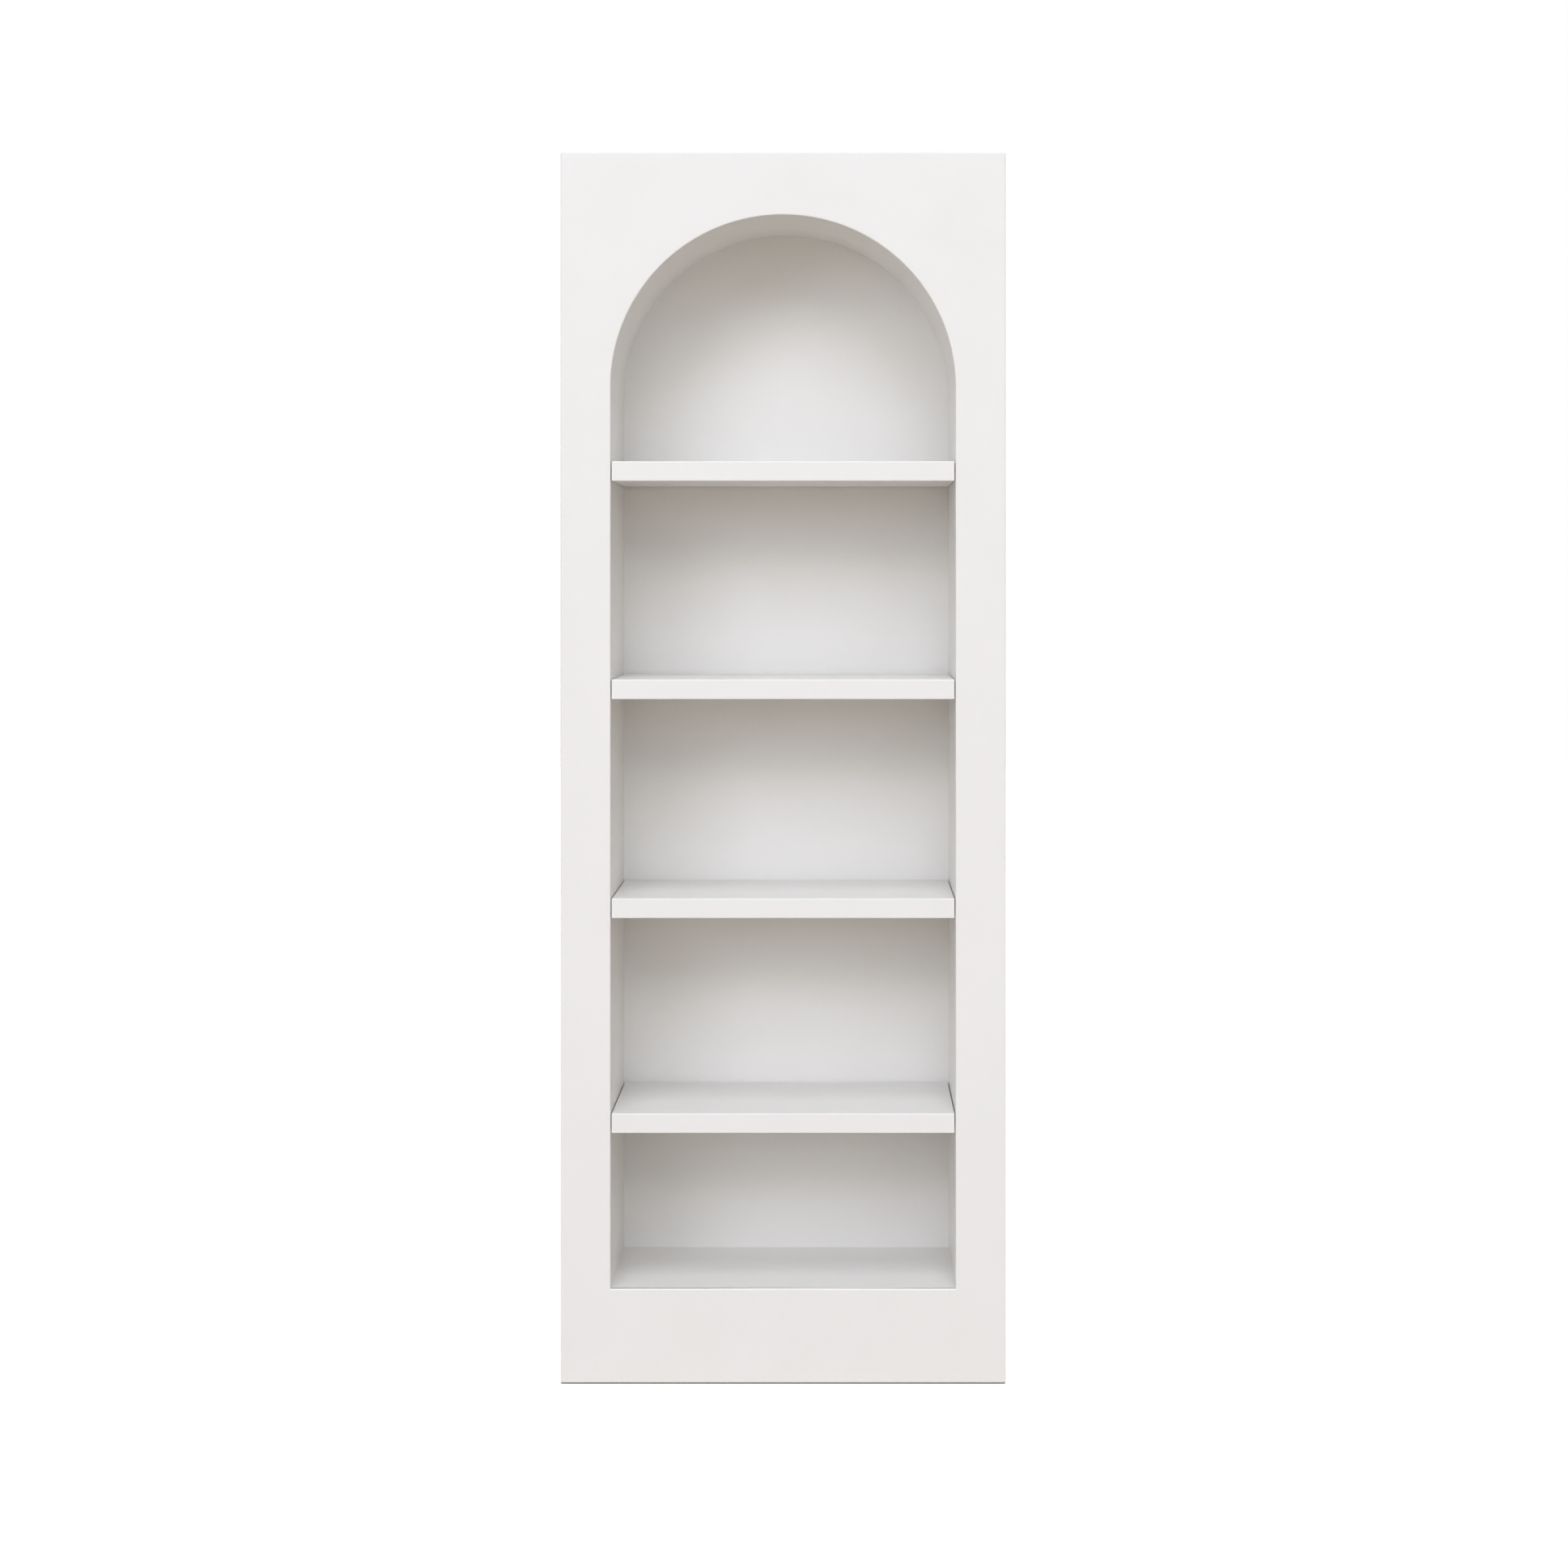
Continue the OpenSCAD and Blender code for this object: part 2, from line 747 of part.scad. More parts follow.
module foot_pad(side, end) {
    edge = 1;
    color(black_plastic) translate([side * foot_spots[0], end * foot_spots[1], 0]) difference() {
        rotate_extrude() polygon([
            [0, 0], [pad_d / 2 - edge, 0], [pad_d / 2, edge], [pad_d / 2, pad_t / 2],
            [boss_d / 2 + edge, pad_t], [boss_d / 2, boss_z], [0, boss_z]
        ]);
        translate([0, 0, boss_z - pin_len - end_fit])
            cylinder(d = pin_d + 2 * fit, h = pin_len + end_fit + over);
    }
}

module foot_stud(side, end) {
    tip = 1;
    color(zinc) translate([side * foot_spots[0], end * foot_spots[1], 0]) {
        translate([0, 0, boss_z - pin_len]) cylinder(d = pin_d, h = pin_len);
        translate([0, 0, boss_z]) cylinder(r = hex_af / 2 / cos(30), h = hex_h, $fn = 6);
        translate([0, 0, hex_top_z]) cylinder(d = stud_d, h = stud_len - tip);
        translate([0, 0, hex_top_z + stud_len - tip]) cylinder(d1 = stud_d, d2 = stud_d - 2 * tip, h = tip);
    }
}

front_panel();
mirror([1, 0, 0]) outer_side();  // outer_side_left
outer_side();  // outer_side_right
mirror([1, 0, 0]) inner_side();  // inner_side_left
inner_side();  // inner_side_right
top_panel();
deck_panel();
base_panel();
plinth_riser(-riser_pitch);  // plinth_riser_left
plinth_riser(0);  // plinth_riser_middle
plinth_riser(riser_pitch);  // plinth_riser_right
mirror([1, 0, 0]) spacers();  // spacers_left
spacers();  // spacers_right
arch_soffit();
arch_rib((case_y + back_y - rib_t) / 2);  // arch_rib_middle
arch_rib(back_y - rib_t);  // arch_rib_rear
back_panel();
shelf(1);  // shelf_1
shelf(2);  // shelf_2
shelf(3);  // shelf_3
shelf(4);  // shelf_4
mirror([1, 0, 0]) shelf_wires();  // shelf_wires_left
shelf_wires();  // shelf_wires_right
front_dowels();
inner_side_dowels();
cam_locks();
cam_bolts();
base_screws();
back_screws();
mirror([1, 0, 0]) wall_bracket();  // wall_bracket_left
wall_bracket();  // wall_bracket_right
bracket_screws();
foot_inserts();
foot_pad(-1, -1);  // foot_pad_front_left
foot_pad(1, -1);  // foot_pad_front_right
foot_pad(-1, 1);  // foot_pad_rear_left
foot_pad(1, 1);  // foot_pad_rear_right
foot_stud(-1, -1);  // foot_stud_front_left
foot_stud(1, -1);  // foot_stud_front_right
foot_stud(-1, 1);  // foot_stud_rear_left
foot_stud(1, 1);  // foot_stud_rear_right
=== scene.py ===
# Dresses a tall painted bookcase with an arched opening and sets it in a plain white studio.
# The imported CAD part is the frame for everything: metres, x to the right, y back to the wall, z up.
# The sections follow the bookcase as it is put together, from its base to the feet, fitted last.
import math

import bmesh
import bpy
from mathutils import Matrix, Vector


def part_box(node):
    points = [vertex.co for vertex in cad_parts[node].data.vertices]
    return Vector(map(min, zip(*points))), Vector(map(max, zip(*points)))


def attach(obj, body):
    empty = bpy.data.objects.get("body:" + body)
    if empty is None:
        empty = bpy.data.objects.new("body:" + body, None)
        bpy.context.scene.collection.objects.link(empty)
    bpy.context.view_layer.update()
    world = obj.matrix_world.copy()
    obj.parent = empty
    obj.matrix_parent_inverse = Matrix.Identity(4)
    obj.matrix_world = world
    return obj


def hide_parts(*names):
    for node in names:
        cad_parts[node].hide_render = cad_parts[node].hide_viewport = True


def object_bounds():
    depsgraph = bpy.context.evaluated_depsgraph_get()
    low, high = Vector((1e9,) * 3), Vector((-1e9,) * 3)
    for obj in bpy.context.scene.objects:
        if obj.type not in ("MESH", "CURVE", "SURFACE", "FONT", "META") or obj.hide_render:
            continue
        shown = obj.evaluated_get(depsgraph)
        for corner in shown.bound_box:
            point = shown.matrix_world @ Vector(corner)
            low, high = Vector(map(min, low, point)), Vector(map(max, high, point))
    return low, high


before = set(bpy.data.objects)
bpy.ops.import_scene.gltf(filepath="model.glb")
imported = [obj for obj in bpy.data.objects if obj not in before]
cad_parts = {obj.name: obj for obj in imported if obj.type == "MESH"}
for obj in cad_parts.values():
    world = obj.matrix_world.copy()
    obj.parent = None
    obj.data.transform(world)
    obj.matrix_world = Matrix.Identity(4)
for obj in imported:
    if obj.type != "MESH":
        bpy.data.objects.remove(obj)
cad_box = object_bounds()

# --- Base and plinth risers ---
# The base is one 18 mm board of medium-density fibreboard (MDF), lacquered like all that shows.
# Three bare MDF risers stand on it and carry the deck, out of sight behind the deep sill. They are
# glued, and pulled down by six countersunk zinc-plated screws from below.


def linear(hex_colour):
    """An sRGB hex value as linear red, green, blue and alpha."""
    parts = [int(hex_colour[i:i + 2], 16) / 255 for i in (1, 3, 5)]
    return (*[c / 12.92 if c <= 0.04045 else ((c + 0.055) / 1.055) ** 2.4 for c in parts], 1)


def add_node(tree, kind, inputs=None, **settings):
    """Adds a node with its settings. An input, by name or number, takes a value, a socket, a node
    (its first output), or a list of sockets and nodes. Sockets that share a name go by number: a
    mix of colours has its factor at 0, its colours at 6 and 7, and its result at output 2."""
    node = tree.nodes.new(kind)
    for name, value in settings.items():
        setattr(node, name, value)
    for name, given in (inputs or {}).items():
        for source in given if isinstance(given, list) else [given]:
            if isinstance(source, bpy.types.Node):
                source = source.outputs[0]
            if isinstance(source, bpy.types.NodeSocket):
                tree.links.new(source, node.inputs[name])
            else:
                node.inputs[name].default_value = source
    return node


def per_mm(size):
    """The scale at which a texture's features are about this many millimetres across."""
    return 1000 / size


def new_material(name):
    """An empty material, its tree, and the Object coordinates that its patterns lie in."""
    material = bpy.data.materials.new(name)
    material.use_nodes = True
    tree = material.node_tree
    tree.nodes.clear()
    return material, tree, add_node(tree, "ShaderNodeTexCoord").outputs["Object"]


def satin_lacquer():
    """Sprayed polyurethane lacquer on MDF: an even satin white with a faint orange peel from the
    spray gun, and a film a shade thinner and warmer here and there."""
    material, tree, place = new_material("satin_white_polyurethane_lacquer")
    film = add_node(tree, "ShaderNodeTexNoise", {
        "Vector": place, "Scale": per_mm(90), "Detail": 3})
    tint = add_node(tree, "ShaderNodeMix", {
        0: film, 6: linear("#F0EEEB"), 7: linear("#ECEAE6")}, data_type="RGBA")
    haze = add_node(tree, "ShaderNodeTexNoise", {
        "Vector": place, "Scale": per_mm(35), "Detail": 2})
    rough = add_node(tree, "ShaderNodeMapRange", {"Value": haze, "To Min": 0.27, "To Max": 0.33})
    peel = add_node(tree, "ShaderNodeTexNoise", {
        "Vector": place, "Scale": per_mm(1.8), "Detail": 1})
    bump = add_node(tree, "ShaderNodeBump", {"Height": peel, "Strength": 0.12, "Distance": 0.00004})
    shader = add_node(tree, "ShaderNodeBsdfPrincipled", {
        "Base Color": tint.outputs[2], "Roughness": rough, "Normal": bump, "IOR": 1.5})
    add_node(tree, "ShaderNodeOutputMaterial", {"Surface": shader})
    return material


def bare_mdf():
    """Sawn MDF: compressed wood fibre, light brown and matt, with darker bundles of fibre half a
    millimetre across and a soft fuzz where the saw went."""
    material, tree, place = new_material("bare_sawn_mdf")
    fibre = add_node(tree, "ShaderNodeTexNoise", {
        "Vector": place, "Scale": per_mm(0.6), "Detail": 4})
    board = add_node(tree, "ShaderNodeTexNoise", {
        "Vector": place, "Scale": per_mm(40), "Detail": 2})
    mixed = add_node(tree, "ShaderNodeMath", {0: fibre, 1: board}, operation="MULTIPLY")
    tone = add_node(tree, "ShaderNodeMapRange", {"Value": mixed, "From Min": -0.1, "From Max": 0.5})
    tint = add_node(tree, "ShaderNodeMix", {
        0: tone, 6: linear("#8F6A42"), 7: linear("#C29E74")}, data_type="RGBA")
    rough = add_node(tree, "ShaderNodeMapRange", {"Value": fibre, "To Min": 0.85, "To Max": 1.0})
    bump = add_node(tree, "ShaderNodeBump", {"Height": fibre, "Strength": 0.4, "Distance": 0.0002})
    shader = add_node(tree, "ShaderNodeBsdfPrincipled", {
        "Base Color": tint.outputs[2], "Roughness": rough, "Normal": bump, "IOR": 1.45})
    add_node(tree, "ShaderNodeOutputMaterial", {"Surface": shader})
    return material


def zinc_plated_steel(name, mark_scale):
    """Bright zinc plate on mild steel: a cool grey metal, cloudy where the passivation took
    unevenly. Its fine marks are 0.2 mm across, and long on the axis where their scale is small."""
    material, tree, place = new_material(name)
    cloud = add_node(tree, "ShaderNodeTexNoise", {
        "Vector": place, "Scale": per_mm(4), "Detail": 3})
    tint = add_node(tree, "ShaderNodeMix", {
        0: cloud, 6: linear("#B9BDC0"), 7: linear("#CDCFCB")}, data_type="RGBA")
    along = add_node(tree, "ShaderNodeMapping", {"Vector": place, "Scale": mark_scale})
    marks = add_node(tree, "ShaderNodeTexNoise", {
        "Vector": along, "Scale": per_mm(0.2), "Detail": 2})
    rough = add_node(tree, "ShaderNodeMapRange", {"Value": marks, "To Min": 0.22, "To Max": 0.42})
    bump = add_node(tree, "ShaderNodeBump", {
        "Height": marks, "Strength": 0.15, "Distance": 0.00003})
    shader = add_node(tree, "ShaderNodeBsdfPrincipled", {
        "Base Color": tint.outputs[2], "Roughness": rough, "Normal": bump, "Metallic": 1})
    add_node(tree, "ShaderNodeOutputMaterial", {"Surface": shader})
    return material


def dress(node, material):
    """Gives a CAD node, whose shape is right as it is, its real finish."""
    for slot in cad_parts[node].material_slots:
        slot.material = material


def freeze(piece):
    """Turns a piece and its modifiers into a plain mesh."""
    graph = bpy.context.evaluated_depsgraph_get()
    mesh = bpy.data.meshes.new_from_object(piece.evaluated_get(graph), depsgraph=graph)
    piece.modifiers.clear()
    piece.data = mesh
    return piece


def stand_in(piece, material, slot, body, *nodes):
    """Lets a finished piece take the place of its CAD nodes, on their body."""
    if not piece.data.materials:
        piece.data.materials.append(material)
    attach(piece, body)
    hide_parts(*nodes)


def new_tree(name, inputs):
    """An empty geometry tree with named inputs, and the sockets that give them."""
    tree = bpy.data.node_groups.new(name, "GeometryNodeTree")
    tree.interface.new_socket("Geometry", in_out="OUTPUT", socket_type="NodeSocketGeometry")
    for label, kind in inputs.items():
        tree.interface.new_socket(label, in_out="INPUT", socket_type="NodeSocket" + kind)
    return tree, add_node(tree, "NodeGroupInput").outputs


def end_tree(tree, geometry, material=None):
    """Closes a tree: instances are realized, because the export drops them. Then the material is
    set, unless the parts have theirs already."""
    real = add_node(tree, "GeometryNodeRealizeInstances", {"Geometry": geometry})
    if material is not None:
        real = add_node(tree, "GeometryNodeSetMaterial", {"Geometry": real, "Material": material})
    add_node(tree, "NodeGroupOutput", {"Geometry": real})


def grow(name, tree, values, points=(), edges=()):
    """Runs a tree over some points and edges and keeps the result as a plain mesh."""
    mesh = bpy.data.meshes.new(name)
    mesh.from_pydata([tuple(p) for p in points], [tuple(e) for e in edges], [])
    piece = bpy.data.objects.new(name, mesh)
    bpy.context.scene.collection.objects.link(piece)
    modifier = piece.modifiers.new("shape", "NODES")
    modifier.node_group = tree
    for item in tree.interface.items_tree:
        if item.in_out == "INPUT" and item.name in values:
            modifier[item.identifier] = values[item.name]
    freeze(piece)
    if piece.data.materials[0] is None:
        # a primitive's own empty slot, which no face uses
        piece.data.materials.pop(index=0)
    return piece


def screw_tree():
    """Cross-recess screws, one on each point of the surface that their heads sit on. A screw is
    drawn with its tip up, then turned to the way it is driven, and by chance about its own axis."""
    tree, size = new_tree("cross_recess_screws", {
        "Points": "Geometry", "Head diameter": "Float", "Head height": "Float",
        "Shank diameter": "Float", "Length": "Float", "Thread pitch": "Float",
        "Recess width": "Float", "Recess blade": "Float", "Countersunk": "Bool",
        "Drive direction": "Vector", "Seed": "Int", "Steel": "Material"})
    # a pan head is half of a flattened ball, and a countersunk one a cone in the wood
    head_r = add_node(tree, "ShaderNodeMath", {
        0: size["Head diameter"], 1: 0.5}, operation="MULTIPLY")
    ball = add_node(tree, "GeometryNodeMeshUVSphere", {"Segments": 32, "Rings": 20, "Radius": 1.0})
    flat = add_node(tree, "ShaderNodeCombineXYZ", {0: head_r, 1: head_r, 2: size["Head height"]})
    dome = add_node(tree, "GeometryNodeTransform", {"Geometry": ball, "Scale": flat})
    wood_t = 0.02
    wood = add_node(tree, "GeometryNodeMeshCube", {"Size": (2 * wood_t, 2 * wood_t, wood_t)})
    wood = add_node(tree, "GeometryNodeTransform", {
        "Geometry": wood, "Translation": (0, 0, wood_t / 2)})
    pan = add_node(tree, "GeometryNodeMeshBoolean", {"Mesh 1": dome, "Mesh 2": wood},
                   operation="DIFFERENCE", solver="EXACT")
    neck_r = add_node(tree, "ShaderNodeMath", {
        0: size["Shank diameter"], 1: 0.5}, operation="MULTIPLY")
    cone = add_node(tree, "GeometryNodeMeshCone", {
        "Vertices": 32, "Radius Bottom": head_r, "Radius Top": neck_r,
        "Depth": size["Head height"]})
    head = add_node(tree, "GeometryNodeSwitch", {
        "Switch": size["Countersunk"], "False": pan, "True": cone}, input_type="GEOMETRY")
    # the cross is cut into the top of the head, which is in the surface if the head is countersunk
    depth_to_width = 0.8
    deep = add_node(tree, "ShaderNodeMath", {
        0: size["Recess width"], 1: depth_to_width}, operation="MULTIPLY")
    slot_x = add_node(tree, "ShaderNodeCombineXYZ", {
        0: size["Recess width"], 1: size["Recess blade"], 2: deep})
    slot_y = add_node(tree, "ShaderNodeCombineXYZ", {
        0: size["Recess blade"], 1: size["Recess width"], 2: deep})
    blades = [add_node(tree, "GeometryNodeMeshCube", {"Size": slot}) for slot in (slot_x, slot_y)]
    cross = add_node(tree, "GeometryNodeMeshBoolean", {"Mesh 2": blades},
                     operation="UNION", solver="EXACT")
    proud = add_node(tree, "ShaderNodeMath", {
        0: size["Countersunk"], 1: 1.0}, operation="SUBTRACT")
    head_top = add_node(tree, "ShaderNodeMath", {
        0: proud, 1: size["Head height"]}, operation="MULTIPLY")
    at_top = add_node(tree, "ShaderNodeCombineXYZ", {2: head_top})
    cross = add_node(tree, "GeometryNodeTransform", {"Geometry": cross, "Translation": at_top})
    driven = add_node(tree, "GeometryNodeMeshBoolean", {"Mesh 1": head, "Mesh 2": cross},
                      operation="DIFFERENCE", solver="EXACT")
    # the core and its point are cones, which stand on their base, and the thread is wound round
    # them: all in parts of the shank's diameter, and the neck without a thread in parts of the core
    core_part, point_part, wound_part, ridge_part, neck_part = 0.36, 1.2, 0.42, 0.08, 0.2
    tip_r = 0.0002
    core_r = add_node(tree, "ShaderNodeMath", {
        0: size["Shank diameter"], 1: core_part}, operation="MULTIPLY")
    point_l = add_node(tree, "ShaderNodeMath", {
        0: size["Shank diameter"], 1: point_part}, operation="MULTIPLY")
    core_l = add_node(tree, "ShaderNodeMath", {
        0: size["Length"], 1: point_l}, operation="SUBTRACT")
    core = add_node(tree, "GeometryNodeMeshCone", {
        "Vertices": 16, "Radius Bottom": core_r, "Radius Top": core_r, "Depth": core_l})
    tip = add_node(tree, "GeometryNodeMeshCone", {
        "Vertices": 16, "Radius Bottom": core_r, "Radius Top": tip_r, "Depth": point_l})
    at_tip = add_node(tree, "ShaderNodeCombineXYZ", {2: core_l})
    tip = add_node(tree, "GeometryNodeTransform", {"Geometry": tip, "Translation": at_tip})
    neck_l = add_node(tree, "ShaderNodeMath", {0: core_l, 1: neck_part}, operation="MULTIPLY")
    thread_l = add_node(tree, "ShaderNodeMath", {0: core_l, 1: neck_l}, operation="SUBTRACT")
    turns = add_node(tree, "ShaderNodeMath", {
        0: thread_l, 1: size["Thread pitch"]}, operation="DIVIDE")
    wound_r = add_node(tree, "ShaderNodeMath", {
        0: size["Shank diameter"], 1: wound_part}, operation="MULTIPLY")
    helix = add_node(tree, "GeometryNodeCurveSpiral", {
        "Resolution": 14, "Rotations": turns, "Start Radius": wound_r, "End Radius": wound_r,
        "Height": thread_l})
    helix = add_node(tree, "GeometryNodeSetCurveNormal", {"Curve": helix}, mode="Z_UP")
    ridge_r = add_node(tree, "ShaderNodeMath", {
        0: size["Shank diameter"], 1: ridge_part}, operation="MULTIPLY")
    ridge = add_node(tree, "GeometryNodeCurvePrimitiveCircle", {"Resolution": 4, "Radius": ridge_r})
    thread = add_node(tree, "GeometryNodeCurveToMesh", {
        "Curve": helix, "Profile Curve": ridge, "Fill Caps": True})
    at_start = add_node(tree, "ShaderNodeCombineXYZ", {2: neck_l})
    thread = add_node(tree, "GeometryNodeTransform", {"Geometry": thread, "Translation": at_start})
    screw = add_node(tree, "GeometryNodeJoinGeometry", {0: [driven, core, tip, thread]})
    # a random number's upper limit is input 3, and the number itself output 1
    chance = add_node(tree, "FunctionNodeRandomValue", {
        3: math.tau, "Seed": size["Seed"]}, data_type="FLOAT")
    spin = add_node(tree, "ShaderNodeCombineXYZ", {2: chance.outputs[1]})
    spin = add_node(tree, "FunctionNodeEulerToRotation", {"Euler": spin})
    aim = add_node(tree, "FunctionNodeAlignRotationToVector", {
        "Vector": size["Drive direction"]}, axis="Z")
    turn = add_node(tree, "FunctionNodeRotateRotation", {
        "Rotation": aim, "Rotate By": spin}, rotation_space="LOCAL")
    placed = add_node(tree, "GeometryNodeInstanceOnPoints", {
        "Points": size["Points"], "Instance": screw, "Rotation": turn})
    end_tree(tree, placed, size["Steel"])
    return tree


def shade(piece, sharp_degrees):
    """Smooth faces, except across edges sharper than this."""
    piece.data.shade_smooth()
    piece.data.set_sharp_from_angle(angle=math.radians(sharp_degrees))
    return piece


lacquer = satin_lacquer()
mdf = bare_mdf()
screw_steel = zinc_plated_steel("zinc_plated_screw_steel", (1, 1, 1))
cross_recess_screws = screw_tree()

dress("base_panel", lacquer)
for riser in ("plinth_riser_left", "plinth_riser_middle", "plinth_riser_right"):
    dress(riser, mdf)

low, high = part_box("base_screws")
riser_x = 0.200
base_screw_d = 0.0045
base_screw_points = [(x, y, low.z) for x in (-riser_x, 0, riser_x)
                     for y in (low.y + base_screw_d, high.y - base_screw_d)]
base_screws = grow("plinth_screws", cross_recess_screws, {
    "Head diameter": 2 * base_screw_d, "Head height": base_screw_d / 2,
    "Shank diameter": base_screw_d, "Length": high.z - low.z, "Thread pitch": 0.0022,
    "Recess width": 0.0046, "Recess blade": 0.0012, "Countersunk": True,
    "Drive direction": (0.0, 0.0, 1.0), "Seed": 3, "Steel": screw_steel}, base_screw_points)
stand_in(shade(base_screws, 35), screw_steel, "zinc_steel", "case", "base_screws")

# --- Outer sides, deck and top ---
# Base, deck and top are lacquered 18 mm MDF boards between two outer sides. Hidden cam fittings in
# them pull on steel bolts in the sides. The lacquer is on before the boards meet, so a hairline of
# eased edges shows wherever two of them butt. The sides and top are rebated to take the back.


def new_piece(name, shape):
    """A finished bmesh as an object, with its doubles merged and its faces turned outwards."""
    bmesh.ops.remove_doubles(shape, verts=shape.verts, dist=doubles_within)
    bmesh.ops.recalc_face_normals(shape, faces=shape.faces)
    mesh = bpy.data.meshes.new(name)
    shape.to_mesh(mesh)
    shape.free()
    piece = bpy.data.objects.new(name, mesh)
    bpy.context.scene.collection.objects.link(piece)
    return piece


def prism(name, outline, axis, start, end):
    """Runs a flat outline along an axis. Its two numbers go to the other axes, in order."""
    shape = bmesh.new()
    ends = []
    for level in (start, end):
        corners = []
        for p in outline:
            place = list(p)
            place.insert("xyz".index(axis), level)
            corners.append(shape.verts.new(place))
        ends.append(corners)
        shape.faces.new(corners)
    for i in range(len(outline)):
        j = (i + 1) % len(outline)
        shape.faces.new((ends[0][i], ends[0][j], ends[1][j], ends[1][i]))
    return new_piece(name, shape)


def block(low, high, name="cutter"):
    """A plain block, to cut with or to mill a board from."""
    outline = [(low[0], low[1]), (high[0], low[1]), (high[0], high[1]), (low[0], high[1])]
    return prism(name, outline, "z", low[2], high[2])


def cut(piece, cutters):
    """Takes the cutters away from a piece."""
    for cutter in cutters:
        modifier = piece.modifiers.new("cut", "BOOLEAN")
        modifier.object = cutter
        modifier.solver = "EXACT"
    freeze(piece)
    for cutter in cutters:
        bpy.data.objects.remove(cutter)
    return piece


def round_edges(piece, radius, segments, chosen):
    """Rounds the edges whose middle is chosen."""
    shape = bmesh.new()
    shape.from_mesh(piece.data)
    edges = [e for e in shape.edges if chosen((e.verts[0].co + e.verts[1].co) / 2)]
    bmesh.ops.bevel(shape, geom=edges, offset=radius, segments=segments, profile=0.5,
                    affect="EDGES")
    shape.to_mesh(piece.data)
    shape.free()


def finish_edges(piece, ease=0):
    """Breaks the sharp edges by the width given, and lets the flat faces rule the shading."""
    if ease:
        bevel = piece.modifiers.new("eased", "BEVEL")
        bevel.width, bevel.segments, bevel.angle_limit = ease, 2, math.radians(40)
    freeze(piece)
    shade(piece, 60)
    normals = piece.modifiers.new("flat faces rule", "WEIGHTED_NORMAL")
    normals.keep_sharp = True
    return freeze(piece)


def corner(centre_x, centre_y, radius, first_degrees, steps=8):
    """A quarter turn of points, anticlockwise."""
    angles = [math.radians(first_degrees + 90 * i / steps) for i in range(steps + 1)]
    return [(centre_x + radius * math.cos(a), centre_y + radius * math.sin(a)) for a in angles]


doubles_within, on_face_within = 1e-7, 1e-5
past = 0.4  # where a cutter ends, well outside the case
corner_r, rear_edge_r, broken = 0.004, 0.002, 0.0004
rebate_play, let_in_play = 0.0005, 0.00005
back_low, back_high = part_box("back_panel")
for side, node in ((-1, "outer_side_left"), (1, "outer_side_right")):
    low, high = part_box(node)
    outer_x, inner_x = max(abs(low.x), abs(high.x)), min(abs(low.x), abs(high.x))
    outline = [(inner_x, low.z)] + corner(outer_x - corner_r, low.z + corner_r, corner_r, 270)
    outline += corner(outer_x - corner_r, high.z - corner_r, corner_r, 0) + [(inner_x, high.z)]
    board = prism(node + "_board", [(side * x, z) for x, z in outline], "y", low.y, high.y)
    # at the rear the upright edge is rounded, with its two corners but for their level ends
    turned_x = outer_x - 0.9 * corner_r
    round_edges(board, rear_edge_r, 6,
                lambda m: abs(m.x) > turned_x and m.y > high.y - on_face_within)
    first_x, last_x = sorted((0, side * (back_high.x + rebate_play)))
    cut(board, [block((first_x, back_low.y, back_low.z - rebate_play),
                      (last_x, past, back_high.z + rebate_play))])
    stand_in(finish_edges(board, broken), lacquer, "white_lacquer", "case", node)

low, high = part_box("top_panel")
rebate_and_pockets = [block((-past, back_low.y, low.z - past),
                            (past, past, back_high.z + rebate_play))]
for node in ("wall_bracket_left", "wall_bracket_right"):
    bracket_low, bracket_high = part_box(node)
    rebate_and_pockets.append(block(
        (bracket_low.x - let_in_play, bracket_low.y - let_in_play, bracket_low.z),
        (bracket_high.x + let_in_play, past, high.z + past)))
top_board = cut(block(low, high, "top_board"), rebate_and_pockets)
stand_in(finish_edges(top_board, broken), lacquer, "white_lacquer", "case", "top_panel")

dress("deck_panel", lacquer)
dress("cam_locks", screw_steel)
dress("cam_bolts", screw_steel)

# --- Inner sides and the spacers behind them ---
# The walls that show inside the opening: two lacquered boards that stand on the deck on beech
# dowels. Blocks of bare MDF, glued between inner and outer sides, keep the two 37 mm apart.


def beech_dowel(name, fleck_scale):
    """Turned beech: pale pinkish brown, dry and unfinished, with fine darker flecks 0.5 mm across
    and long on the axis of the grain, where their scale is small."""
    material, tree, place = new_material(name)
    along = add_node(tree, "ShaderNodeMapping", {"Vector": place, "Scale": fleck_scale})
    fleck = add_node(tree, "ShaderNodeTexNoise", {
        "Vector": along, "Scale": per_mm(0.5), "Detail": 3})
    tint = add_node(tree, "ShaderNodeMix", {
        0: fleck, 6: linear("#B98F5F"), 7: linear("#E3C69C")}, data_type="RGBA")
    rough = add_node(tree, "ShaderNodeMapRange", {"Value": fleck, "To Min": 0.65, "To Max": 0.8})
    bump = add_node(tree, "ShaderNodeBump", {"Height": fleck, "Strength": 0.2, "Distance": 0.0001})
    shader = add_node(tree, "ShaderNodeBsdfPrincipled", {
        "Base Color": tint.outputs[2], "Roughness": rough, "Normal": bump, "IOR": 1.45})
    add_node(tree, "ShaderNodeOutputMaterial", {"Surface": shader})
    return material


for node in ("inner_side_left", "inner_side_right"):
    dress(node, lacquer)
for node in ("spacers_left", "spacers_right"):
    dress(node, mdf)
dress("inner_side_dowels", beech_dowel("beech_dowel_upright_grain", (1, 1, 0.15)))

# --- Arch: soffit and ribs ---
# The soffit is an 8 mm MDF board, sawn nearly through across its hidden face every 16 mm until it
# bends to the half circle, then glued to two bare MDF ribs. Only its lacquered skin shows.


